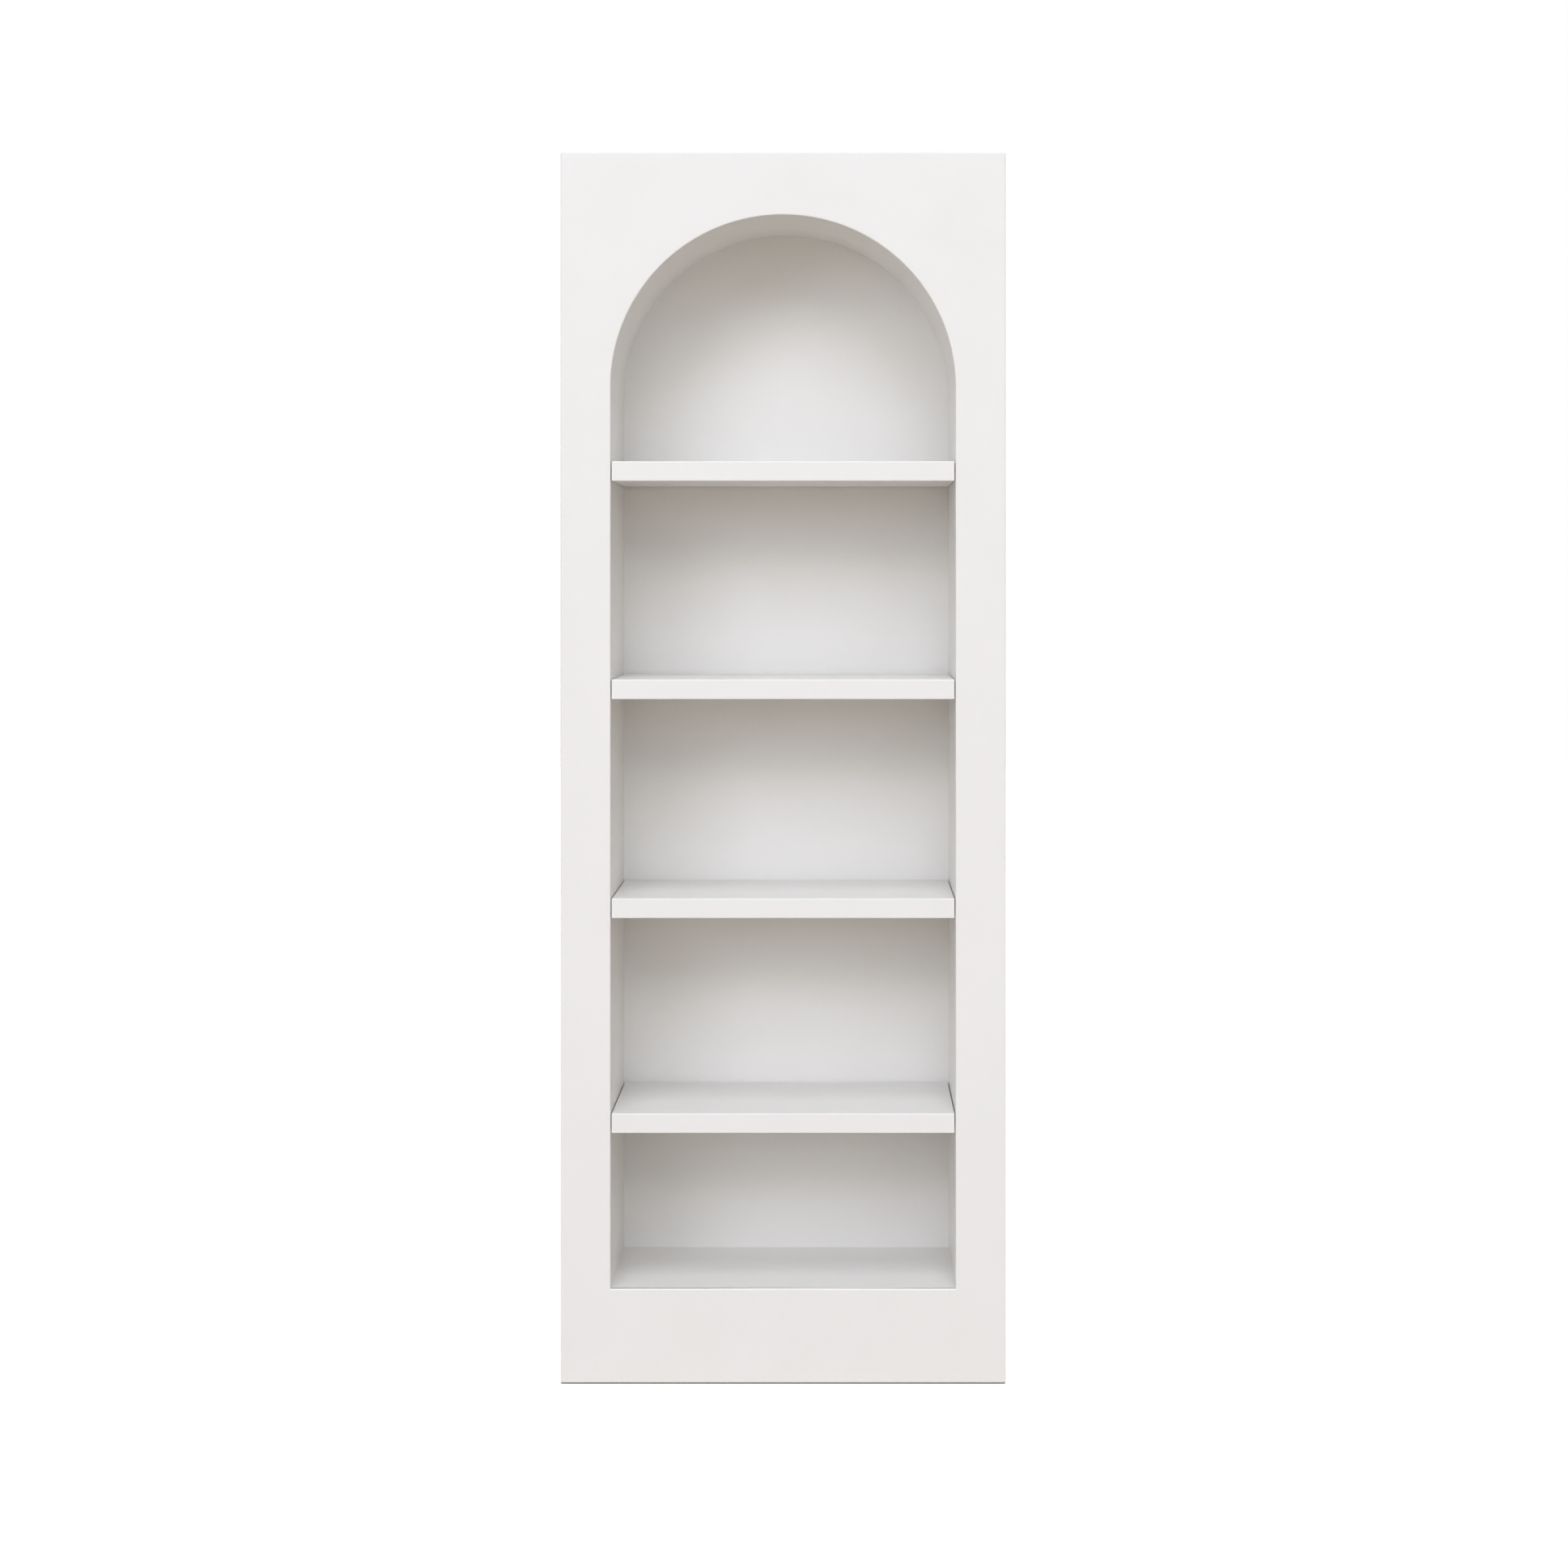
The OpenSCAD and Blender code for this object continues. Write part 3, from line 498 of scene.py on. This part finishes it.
def kerfed_soffit_tree():
    """A half ring of thin skin with a row of lands on its back, between the saw kerfs. It is drawn
    flat and turned up about the x axis, with its middle where it is asked."""
    tree, size = new_tree("kerfed_soffit", {
        "Inner radius": "Float", "Skin": "Float", "Thickness": "Float", "Depth": "Float",
        "Kerf width": "Float", "Kerfs": "Int", "Middle": "Vector", "Lacquer": "Material",
        "Sawn": "Material"})

    def bent_board(radius, start, sweep, thick, points):
        """A board bent to part of a ring, as deep as the soffit."""
        arc = add_node(tree, "GeometryNodeCurveArc", {
            "Resolution": points, "Radius": radius, "Start Angle": start, "Sweep Angle": sweep})
        section = add_node(tree, "GeometryNodeCurvePrimitiveQuadrilateral", {
            "Width": thick, "Height": size["Depth"]})
        return add_node(tree, "GeometryNodeCurveToMesh", {
            "Curve": arc, "Profile Curve": section, "Fill Caps": True})

    skin_r = add_node(tree, "ShaderNodeMath", {
        0: size["Skin"], 1: 0.5, 2: size["Inner radius"]}, operation="MULTIPLY_ADD")
    skin = bent_board(skin_r, 0.0, math.pi, size["Skin"], 361)
    skin = add_node(tree, "GeometryNodeSetMaterial", {
        "Geometry": skin, "Material": size["Lacquer"]})
    # the lands fill the rest of the thickness, half a land at each end and whole ones between
    land_t = add_node(tree, "ShaderNodeMath", {
        0: size["Thickness"], 1: size["Skin"]}, operation="SUBTRACT")
    both_t = add_node(tree, "ShaderNodeMath", {
        0: size["Thickness"], 1: size["Skin"]}, operation="ADD")
    land_r = add_node(tree, "ShaderNodeMath", {
        0: both_t, 1: 0.5, 2: size["Inner radius"]}, operation="MULTIPLY_ADD")
    step = add_node(tree, "ShaderNodeMath", {0: math.pi, 1: size["Kerfs"]}, operation="DIVIDE")
    kerf = add_node(tree, "ShaderNodeMath", {0: size["Kerf width"], 1: land_r}, operation="DIVIDE")
    sweep = add_node(tree, "ShaderNodeMath", {0: step, 1: kerf}, operation="SUBTRACT")
    half = add_node(tree, "ShaderNodeMath", {0: sweep, 1: 0.5}, operation="MULTIPLY")
    start = add_node(tree, "ShaderNodeMath", {0: sweep, 1: -0.5}, operation="MULTIPLY")
    end = add_node(tree, "ShaderNodeMath", {0: math.pi, 1: half}, operation="SUBTRACT")
    count = add_node(tree, "ShaderNodeMath", {0: size["Kerfs"], 1: 1.0}, operation="SUBTRACT")
    spots = add_node(tree, "GeometryNodePoints", {"Count": count})
    order = add_node(tree, "GeometryNodeInputIndex")
    angle = add_node(tree, "ShaderNodeMath", {0: order, 1: step, 2: step}, operation="MULTIPLY_ADD")
    turn = add_node(tree, "ShaderNodeCombineXYZ", {2: angle})
    lands = add_node(tree, "GeometryNodeInstanceOnPoints", {
        "Points": spots, "Instance": bent_board(land_r, start, sweep, land_t, 5), "Rotation": turn})
    ends = [bent_board(land_r, 0.0, half, land_t, 3), bent_board(land_r, end, half, land_t, 3)]
    sawn = add_node(tree, "GeometryNodeJoinGeometry", {0: [lands, *ends]})
    sawn = add_node(tree, "GeometryNodeSetMaterial", {"Geometry": sawn, "Material": size["Sawn"]})
    whole = add_node(tree, "GeometryNodeJoinGeometry", {0: [skin, sawn]})
    upright = add_node(tree, "GeometryNodeTransform", {
        "Geometry": whole, "Rotation": (math.pi / 2, 0, 0), "Translation": size["Middle"]})
    end_tree(tree, upright)
    return tree


soffit_low, soffit_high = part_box("arch_soffit")
soffit_t, kerf_pitch = 0.008, 0.016
arch_r = soffit_high.x - soffit_t
soffit = grow("kerf_bent_soffit", kerfed_soffit_tree(), {
    "Inner radius": arch_r, "Skin": 0.002, "Thickness": soffit_t,
    "Depth": soffit_high.y - soffit_low.y, "Kerf width": 0.003,
    "Kerfs": math.floor(math.pi * arch_r / kerf_pitch),
    "Middle": (0.0, (soffit_low.y + soffit_high.y) / 2, soffit_low.z),
    "Lacquer": lacquer, "Sawn": mdf})
stand_in(shade(soffit, 30), lacquer, "white_lacquer", "case", "arch_soffit")
for node in ("arch_rib_middle", "arch_rib_rear"):
    dress(node, mdf)

# --- Back ---
# A 9 mm lacquered MDF panel, dropped into the rebates of the case from behind and held by 34
# zinc-plated pan-head screws, in lines along the outer sides, inner sides, base, top and rear rib.


def middle_of(node):
    """The middle of a CAD node's box."""
    return [(a + b) / 2 for a, b in zip(*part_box(node))]


dress("back_panel", lacquer)
in_from_edge, in_from_end, per_line, pair_x = 0.004, 0.030, 7, 0.100
deck_top, top_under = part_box("deck_panel")[1].z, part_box("top_panel")[0].z
outer_line = (back_high.x - in_from_edge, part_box("base_panel")[1].z, top_under)
inner_line = (middle_of("inner_side_right")[0], deck_top, soffit_low.z)
back_screw_spots = []
for x, low_end, high_end in (outer_line, inner_line):
    first, last = low_end + in_from_end, high_end - in_from_end
    back_screw_spots += [(x, first + (last - first) * i / (per_line - 1)) for i in range(per_line)]
back_screw_spots += [(pair_x, z) for z in (
    back_low.z + in_from_edge, (soffit_high.z + top_under) / 2, back_high.z - in_from_edge)]
back_screw_points = [(side * x, back_high.y, z) for side in (-1, 1) for x, z in back_screw_spots]
back_screws = grow("back_pan_head_screws", cross_recess_screws, {
    "Head diameter": 0.007, "Head height": 0.0022, "Shank diameter": 0.0035, "Length": 0.025,
    "Thread pitch": 0.0016, "Recess width": 0.0036, "Recess blade": 0.0009, "Countersunk": False,
    "Drive direction": (0.0, -1.0, 0.0), "Seed": 11, "Steel": screw_steel}, back_screw_points)
stand_in(shade(back_screws, 35), screw_steel, "zinc_steel", "case", "back_screws")

# --- Front frame ---
# One 18 mm MDF board cut out to the arched opening. A rounding-over bit has eased both its outer
# edge and the opening by 2 mm before lacquering. It is glued and dowelled to the edges of all the
# boards behind it, so no fixing shows.

frame_low, frame_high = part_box("front_panel")
edge_r, edge_steps, arch_steps = 0.002, 8, 256
sill_z, spring_z = deck_top, soffit_low.z
frame_shape = bmesh.new()


def case_ring(inset, y):
    """The outline of the case, moved in."""
    x, bottom, top, r = frame_high.x, frame_low.z, frame_high.z, corner_r
    points = []
    for cx, cz, turn in ((x - r, bottom + r, 270), (x - r, top - r, 0),
                         (r - x, top - r, 90), (r - x, bottom + r, 180)):
        points += corner(cx, cz, r - inset, turn)
    return [frame_shape.verts.new((px, y, pz)) for px, pz in points]


def opening_ring(outset, y):
    """The outline of the opening, moved out into the wood."""
    points = corner(-arch_r, sill_z, outset, 180) + corner(arch_r, sill_z, outset, 270)
    r, angles = arch_r + outset, [math.pi * i / arch_steps for i in range(arch_steps + 1)]
    points += [(r * math.cos(a), spring_z + r * math.sin(a)) for a in angles]
    return [frame_shape.verts.new((px, y, pz)) for px, pz in points]


def skin_between(rings):
    """Faces between each ring and the next."""
    for near, far in zip(rings, rings[1:]):
        for i in range(len(near)):
            j = (i + 1) % len(near)
            frame_shape.faces.new((near[i], near[j], far[j], far[i]))


quarter = [math.pi / 2 * i / edge_steps for i in range(edge_steps + 1)]
rounding = [(edge_r * (1 - math.sin(a)), frame_low.y + edge_r * (1 - math.cos(a)))
            for a in quarter]
outside = [case_ring(inset, y) for inset, y in rounding]
outside += [case_ring(0, frame_high.y - broken), case_ring(broken, frame_high.y)]
inside = [opening_ring(outset, y) for outset, y in rounding] + [opening_ring(0, frame_high.y)]
skin_between(outside)
skin_between(inside)
bmesh.ops.remove_doubles(frame_shape, verts=frame_shape.verts, dist=doubles_within)
for y in (frame_low.y, frame_high.y):
    rim = [e for e in frame_shape.edges
           if e.is_boundary and all(abs(v.co.y - y) < on_face_within for v in e.verts)]
    bmesh.ops.triangle_fill(frame_shape, use_beauty=True, edges=rim)
front_frame = new_piece("arched_front_frame", frame_shape)
stand_in(finish_edges(front_frame), lacquer, "white_lacquer", "case", "front_panel")
dress("front_dowels", beech_dowel("beech_dowel_level_grain", (1, 0.15, 1)))

# --- Shelf wires and shelves ---
# Each 29 mm shelf is a lacquered MDF board with 1.5 mm eased edges. A slot cutter has grooved both
# its ends, from the rear to just behind the front, and it slides onto two 3 mm bent steel wires
# whose legs are pushed into holes in the inner sides, so no support shows.


def bent_wire_tree():
    """Round wire along each line of the input, bent to one radius at its corners."""
    tree, size = new_tree("bent_wire", {
        "Lines": "Geometry", "Wire diameter": "Float", "Bend radius": "Float",
        "Steel": "Material"})
    path = add_node(tree, "GeometryNodeMeshToCurve", {"Mesh": size["Lines"]})
    bends = add_node(tree, "GeometryNodeFilletCurve", {
        "Curve": path, "Count": 8, "Radius": size["Bend radius"]}, mode="POLY")
    wire_r = add_node(tree, "ShaderNodeMath", {
        0: size["Wire diameter"], 1: 0.5}, operation="MULTIPLY")
    section = add_node(tree, "GeometryNodeCurvePrimitiveCircle", {
        "Resolution": 16, "Radius": wire_r})
    wire = add_node(tree, "GeometryNodeCurveToMesh", {
        "Curve": bends, "Profile Curve": section, "Fill Caps": True})
    end_tree(tree, wire, size["Steel"])
    return tree


wire_steel = zinc_plated_steel("zinc_plated_drawn_wire", (1, 0.05, 1))
bent_wire = bent_wire_tree()
shelves = ("shelf_1", "shelf_2", "shelf_3", "shelf_4")
shelf_middles = [middle_of(shelf)[2] for shelf in shelves]
wire_d, wire_off_wall, leg_in_wall, front_leg_in, rear_leg_in = 0.003, 0.0055, 0.012, 0.058, 0.030
wire_x, leg_end_x = arch_r - wire_off_wall, arch_r + leg_in_wall
front_leg_y, rear_leg_y = frame_low.y + front_leg_in, back_low.y - rear_leg_in
for side, node in ((-1, "shelf_wires_left"), (1, "shelf_wires_right")):
    points, edges = [], []
    for z in shelf_middles:
        first = len(points)
        points += [(side * leg_end_x, front_leg_y, z), (side * wire_x, front_leg_y, z),
                   (side * wire_x, rear_leg_y, z), (side * leg_end_x, rear_leg_y, z)]
        edges += [(first + i, first + i + 1) for i in range(3)]
    wires = grow(node.replace("shelf", "bent"), bent_wire, {
        "Wire diameter": wire_d, "Bend radius": 0.004, "Steel": wire_steel}, points, edges)
    stand_in(shade(wires, 40), wire_steel, "zinc_steel", "case", node)

shelf_edge_r, groove_play, cutter_r = 0.0015, 0.0003, 0.020
groove_h = wire_d + 2 * groove_play
groove_x, groove_y = wire_x - groove_h / 2, front_leg_y - groove_h / 2
groove_outline = [(groove_x, past), *corner(groove_x + cutter_r, groove_y, cutter_r, 180, 12),
                  (groove_x + cutter_r, past)]
for shelf, middle_z in zip(shelves, shelf_middles):
    board = block(*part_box(shelf), shelf + "_board")
    round_edges(board, shelf_edge_r, 5, lambda m: True)
    grooves = [prism("groove", [(side * x, y) for x, y in groove_outline], "z",
                     middle_z - groove_h / 2, middle_z + groove_h / 2) for side in (-1, 1)]
    stand_in(finish_edges(cut(board, grooves)), lacquer, "white_lacquer", shelf, shelf)

# --- Wall brackets ---
# Two small angles, bent from 2 mm zinc-plated steel strip and let in flush at the rear of the top.
# Each is held down by two countersunk screws. Its upright leg has a 5.5 mm hole for a wall screw.

bracket_steel = zinc_plated_steel("zinc_plated_steel_strip", (0.05, 1, 1))
strip_t, bend_r, leg_corner_r, strip_broken = 0.002, 0.003, 0.004, 0.00025
wall_hole_r, wall_hole_up, drill_from_y, drill_to_y = 0.00275, 0.0138, 0.1, 0.2
bracket_screw_d, screw_in, screw_off_middle, sink_over = 0.004, 0.009, 0.008, 0.0004
top_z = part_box("top_panel")[1].z
whole_turn = [math.tau * i / 32 for i in range(32)]
bracket_screw_points = []
for node in ("wall_bracket_left", "wall_bracket_right"):
    low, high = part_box(node)
    middle_x = middle_of(node)[0]
    bend_y, bend_z = high.y - bend_r, low.z + bend_r
    section = [(low.y, low.z), *corner(bend_y, bend_z, bend_r, 270), (high.y, high.z),
               (high.y - strip_t, high.z), *corner(bend_y, bend_z, bend_r - strip_t, 270)[::-1],
               (low.y, low.z + strip_t)]
    angle = prism(node.replace("wall", "steel"), section, "x", low.x, high.x)
    round_edges(angle, leg_corner_r, 8, lambda m: m.z > high.z - on_face_within
                and abs(m.x - middle_x) > high.x - middle_x - on_face_within)
    wall_hole = [(middle_x + wall_hole_r * math.cos(a),
                  top_z + wall_hole_up + wall_hole_r * math.sin(a)) for a in whole_turn]
    holes = [prism("hole", wall_hole, "y", drill_from_y, drill_to_y)]
    for x in (middle_x - screw_off_middle, middle_x + screw_off_middle):
        bracket_screw_points.append((x, low.y + screw_in, top_z))
        # a sink of 45 degrees, carried on over the strip so that it cuts clean
        sink = bmesh.new()
        sink_middle = (x, low.y + screw_in, top_z + (sink_over - strip_t) / 2)
        bmesh.ops.create_cone(sink, segments=32, cap_ends=True, depth=strip_t + sink_over,
                              radius1=bracket_screw_d - strip_t + let_in_play,
                              radius2=bracket_screw_d + sink_over + let_in_play,
                              matrix=Matrix.Translation(sink_middle))
        holes.append(new_piece("sink", sink))
    cut(angle, holes)
    stand_in(finish_edges(angle, strip_broken), bracket_steel, "zinc_steel", "case", node)

bracket_screws = grow("bracket_countersunk_screws", cross_recess_screws, {
    "Head diameter": 2 * bracket_screw_d, "Head height": bracket_screw_d / 2,
    "Shank diameter": bracket_screw_d, "Length": 0.014, "Thread pitch": 0.0018,
    "Recess width": 0.0042, "Recess blade": 0.0011, "Countersunk": True,
    "Drive direction": (0.0, 0.0, -1.0), "Seed": 5, "Steel": screw_steel}, bracket_screw_points)
stand_in(shade(bracket_screws, 35), screw_steel, "zinc_steel", "case", "bracket_screws")

# --- Levelling feet ---
# Each foot is an M8 stud of zinc-plated steel with a hexagon for a 13 mm spanner, turning in a
# moulded black nylon pad. It screws up into a threaded insert pressed into the base.


def moulded_nylon():
    """Glass-filled black nylon from an eroded mould: a dull near-black with a fine even grain."""
    material, tree, place = new_material("moulded_black_nylon")
    grain = add_node(tree, "ShaderNodeTexVoronoi", {"Vector": place, "Scale": per_mm(0.5)})
    cloud = add_node(tree, "ShaderNodeTexNoise", {"Vector": place, "Scale": per_mm(8), "Detail": 2})
    tint = add_node(tree, "ShaderNodeMix", {
        0: cloud, 6: linear("#242527"), 7: linear("#303134")}, data_type="RGBA")
    rough = add_node(tree, "ShaderNodeMapRange", {"Value": cloud, "To Min": 0.5, "To Max": 0.62})
    bump = add_node(tree, "ShaderNodeBump", {"Height": grain, "Strength": 0.3, "Distance": 0.00006})
    shader = add_node(tree, "ShaderNodeBsdfPrincipled", {
        "Base Color": tint.outputs[2], "Roughness": rough, "Normal": bump, "IOR": 1.53})
    add_node(tree, "ShaderNodeOutputMaterial", {"Surface": shader})
    return material


def threaded_stud_tree():
    """A round core with a screw thread wound up it, from its foot upwards."""
    tree, size = new_tree("threaded_stud", {
        "Thread diameter": "Float", "Core diameter": "Float", "Pitch": "Float", "Length": "Float",
        "Foot": "Vector", "Steel": "Material"})
    core_r = add_node(tree, "ShaderNodeMath", {
        0: size["Core diameter"], 1: 0.5}, operation="MULTIPLY")
    core = add_node(tree, "GeometryNodeMeshCone", {
        "Vertices": 32, "Radius Bottom": core_r, "Radius Top": core_r, "Depth": size["Length"]})
    proud = add_node(tree, "ShaderNodeMath", {
        0: size["Thread diameter"], 1: size["Core diameter"]}, operation="SUBTRACT")
    ridge_r = add_node(tree, "ShaderNodeMath", {0: proud, 1: 0.5}, operation="MULTIPLY")
    ridge = add_node(tree, "GeometryNodeCurvePrimitiveCircle", {"Resolution": 4, "Radius": ridge_r})
    run = add_node(tree, "ShaderNodeMath", {
        0: size["Length"], 1: size["Pitch"]}, operation="SUBTRACT")
    turns = add_node(tree, "ShaderNodeMath", {0: run, 1: size["Pitch"]}, operation="DIVIDE")
    helix = add_node(tree, "GeometryNodeCurveSpiral", {
        "Resolution": 32, "Rotations": turns, "Start Radius": core_r, "End Radius": core_r,
        "Height": run})
    helix = add_node(tree, "GeometryNodeSetCurveNormal", {"Curve": helix}, mode="Z_UP")
    thread = add_node(tree, "GeometryNodeCurveToMesh", {
        "Curve": helix, "Profile Curve": ridge, "Fill Caps": True})
    start = add_node(tree, "ShaderNodeMath", {0: size["Pitch"], 1: 0.5}, operation="MULTIPLY")
    at_start = add_node(tree, "ShaderNodeCombineXYZ", {2: start})
    thread = add_node(tree, "GeometryNodeTransform", {"Geometry": thread, "Translation": at_start})
    stud = add_node(tree, "GeometryNodeJoinGeometry", {0: [core, thread]})
    placed = add_node(tree, "GeometryNodeTransform", {
        "Geometry": stud, "Translation": size["Foot"]})
    end_tree(tree, placed, size["Steel"])
    return tree


def turned(name, profile, x, y, sides=48):
    """A round piece about an upright axis, closed at its ends, from a list of (radius, height)."""
    shape = bmesh.new()
    rings = []
    for r, z in profile:
        angles = [math.tau * i / sides for i in range(sides)] if r else [0]
        rings.append([shape.verts.new((x + r * math.cos(a), y + r * math.sin(a), z))
                      for a in angles])
    for lower, upper in zip(rings, rings[1:]):
        for i in range(sides):
            j = (i + 1) % sides
            face = [lower[i % len(lower)], lower[j % len(lower)],
                    upper[j % len(upper)], upper[i % len(upper)]]
            shape.faces.new(list(dict.fromkeys(face)))
    return new_piece(name, shape)


nylon = moulded_nylon()
stud_steel = zinc_plated_steel("zinc_plated_rolled_thread", (1, 1, 1))
threaded_stud = threaded_stud_tree()
dress("foot_inserts", screw_steel)

pad_r, pad_t, sole_r, rim = 0.018, 0.005, 0.001, 0.0003
boss_r, boss_top, boss_edge = 0.009, 0.007, 0.0004
boss_root = ((0.0013, -0.0001), (0.0008, 0.0003))  # out from the boss, and up from the cone's top
socket_r, socket_mouth_r, socket_floor = 0.00305, 0.0034, 0.002
# a rounded sole, a shallow cone above it, and a boss whose socket takes the stud's pin
pad_profile = [(0, 0), *corner(pad_r - sole_r, sole_r, sole_r, 270, 5),
               (pad_r, pad_t / 2 - rim), (pad_r - rim, pad_t / 2)]
pad_profile += [(boss_r + out, pad_t + up) for out, up in boss_root]
pad_profile += [(boss_r, boss_top - boss_edge), (boss_r - boss_edge, boss_top),
                (socket_mouth_r, boss_top), (socket_r, boss_top - boss_edge),
                (socket_r, socket_floor), (0, socket_floor)]

flat_r, hexagon_top, chamfer, lens_over, pin_r = 0.0065, 0.0115, 0.00055, 0.0001, 0.003
point_r = flat_r / math.cos(math.pi / 6)
lens_profile = [(0, boss_top), (flat_r, boss_top), (point_r + lens_over, boss_top + chamfer),
                (point_r + lens_over, hexagon_top - chamfer), (flat_r, hexagon_top),
                (0, hexagon_top)]
sixths = [math.radians(60 * i) for i in range(6)]
for spot in ("front_left", "front_right", "rear_left", "rear_right"):
    x, y, _ = middle_of("foot_pad_" + spot)
    pad = turned("nylon_pad_" + spot, pad_profile, x, y)
    stand_in(finish_edges(pad), nylon, "black_plastic", "foot_pad_" + spot, "foot_pad_" + spot)

    low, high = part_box("foot_stud_" + spot)
    stud = grow("threaded_stud_" + spot, threaded_stud, {
        "Thread diameter": 0.008, "Core diameter": 0.0066, "Pitch": 0.00125,
        "Length": high.z - hexagon_top, "Foot": (x, y, hexagon_top), "Steel": stud_steel})
    # the hexagon's points are turned off above and below, as on a nut
    nut = prism("hexagon", [(x + point_r * math.cos(a), y + point_r * math.sin(a)) for a in sixths],
                "z", boss_top, hexagon_top)
    lens = turned("lens", lens_profile, x, y)
    keep = nut.modifiers.new("chamfered", "BOOLEAN")
    keep.operation, keep.object, keep.solver = "INTERSECT", lens, "EXACT"
    freeze(nut)
    pin = turned("pin", [(0, low.z), (pin_r, low.z), (pin_r, boss_top), (0, boss_top)], x, y, 24)
    shape = bmesh.new()
    for part in (stud, nut, pin):
        shape.from_mesh(part.data)
    shape.to_mesh(stud.data)
    shape.free()
    for part in (nut, pin, lens):
        bpy.data.objects.remove(part)
    stand_in(shade(stud, 30), stud_steel, "zinc_steel", "foot_stud_" + spot, "foot_stud_" + spot)

# --- Studio ---
# A plain pale floor under an even white room. The strongest of the large, soft, distant lamps is
# high in front. Of the two low ones the left is brighter, so the right inner wall is the lighter
# one, and two more light the back. The camera is level and looks squarely at the front.


def looked_at(tree):
    """1 where the camera, a gloss or a glass looks, and 0 for the light that falls on things."""
    rays = add_node(tree, "ShaderNodeLightPath").outputs
    seen = add_node(tree, "ShaderNodeMath", {
        0: rays["Is Camera Ray"], 1: rays["Is Glossy Ray"]}, operation="ADD")
    return add_node(tree, "ShaderNodeMath", {
        0: seen, 1: rays["Is Transmission Ray"]}, operation="ADD", use_clamp=True)


def studio_floor_paint():
    """Matt floor whose own colour, a warm greige, gives the undersides of the shelves their warm
    tone. Where it is looked at, a glow lifts it to plain white, except under the case: there a mask
    of the case's footprint leaves only a little of the glow, so the gap stays dark, partly with the
    floor's real shadow and partly with painted shade."""
    material, tree, place = new_material("matt_studio_floor")
    glow_left_in_painted_shade = 0.12
    paint = add_node(tree, "ShaderNodeBsdfDiffuse", {"Color": linear("#A99D8A")})
    apart = add_node(tree, "ShaderNodeVectorMath", {0: place}, operation="ABSOLUTE")
    apart = add_node(tree, "ShaderNodeSeparateXYZ", {0: apart}).outputs
    beside = add_node(tree, "ShaderNodeMath", {
        0: apart[0], 1: cad_box[1].x}, operation="GREATER_THAN")
    before = add_node(tree, "ShaderNodeMath", {
        0: apart[1], 1: cad_box[1].y}, operation="GREATER_THAN")
    clear = add_node(tree, "ShaderNodeMath", {0: beside, 1: before}, operation="MAXIMUM")
    # painted shade: over the case's footprint only this much glow is left, which sets how dark the
    # gap under the case reads
    clear = add_node(tree, "ShaderNodeMath", {0: clear, 1: glow_left_in_painted_shade}, operation="MAXIMUM")
    glow = add_node(tree, "ShaderNodeMath", {0: clear, 1: looked_at(tree)}, operation="MULTIPLY")
    light = add_node(tree, "ShaderNodeEmission", {"Strength": glow})
    both = add_node(tree, "ShaderNodeAddShader", {0: paint, 1: light})
    add_node(tree, "ShaderNodeOutputMaterial", {"Surface": both})
    return material


reach = 15  # of the floor, to each side, so that its edge is out of sight
floor_mesh = bpy.data.meshes.new("studio_floor")
floor_mesh.from_pydata([(-reach, -reach, 0), (reach, -reach, 0), (reach, reach, 0),
                        (-reach, reach, 0)], [], [(0, 1, 2, 3)])
floor = bpy.data.objects.new("studio_floor", floor_mesh)
bpy.context.scene.collection.objects.link(floor)
floor.data.materials.append(studio_floor_paint())

room = bpy.data.worlds.new("white_room")
bpy.context.scene.world = room
room.use_nodes = True
air = room.node_tree
air.nodes.clear()
ambient = add_node(air, "ShaderNodeBackground", {"Color": linear("#FFFDF9"), "Strength": 0.45})
backdrop = add_node(air, "ShaderNodeBackground", {"Color": linear("#FFFFFF"), "Strength": 1.0})
sky = add_node(air, "ShaderNodeMixShader", {0: looked_at(air), 1: ambient, 2: backdrop})
add_node(air, "ShaderNodeOutputWorld", {"Surface": sky})

aim_at = Vector((0, 0, cad_box[1].z / 2))
size_to_distance = 0.375
lamps = [
    # name, degrees round from the front to the right, degrees up, distance in metres, watts
    ("left_low", -25, 16, 16, 512), ("right_low", 25, 16, 16, 199),
    ("front_middle", 0, 30, 16, 711), ("front_high", 0, 58, 30, 2910),
    ("rear_left", -140, 12, 16, 720), ("rear_right", 140, 12, 16, 720)]
for name, around, up, distance, power in lamps:
    around, up = math.radians(around), math.radians(up)
    way = Vector((math.sin(around) * math.cos(up), -math.cos(around) * math.cos(up), math.sin(up)))
    lamp = bpy.data.lights.new(name, "AREA")
    lamp.shape, lamp.size, lamp.energy = "SQUARE", distance * size_to_distance, power
    lamp.color = linear("#EEF3FF")[:3]
    light = bpy.data.objects.new(name, lamp)
    bpy.context.scene.collection.objects.link(light)
    light.location = aim_at + way * distance
    light.rotation_euler = way.to_track_quat("Z", "Y").to_euler()
    # the glare of a low lamp would bleach the top and the shelves where a view skims over them
    light.visible_glossy = up > math.pi / 4

# the place, the lens and the shift are those that the photograph's perspective and framing give
camera_data = bpy.data.cameras.new("photograph")
camera_data.sensor_width, camera_data.lens = 36, 72.3
camera_data.shift_x, camera_data.shift_y = -0.0352, -0.1299
camera = bpy.data.objects.new("photograph", camera_data)
camera.location, camera.rotation_euler = (0.082, -4.750, 1.174), (math.pi / 2, 0, 0)
bpy.context.scene.collection.objects.link(camera)
bpy.context.scene.camera = camera
bpy.context.scene.view_settings.view_transform = "Standard"
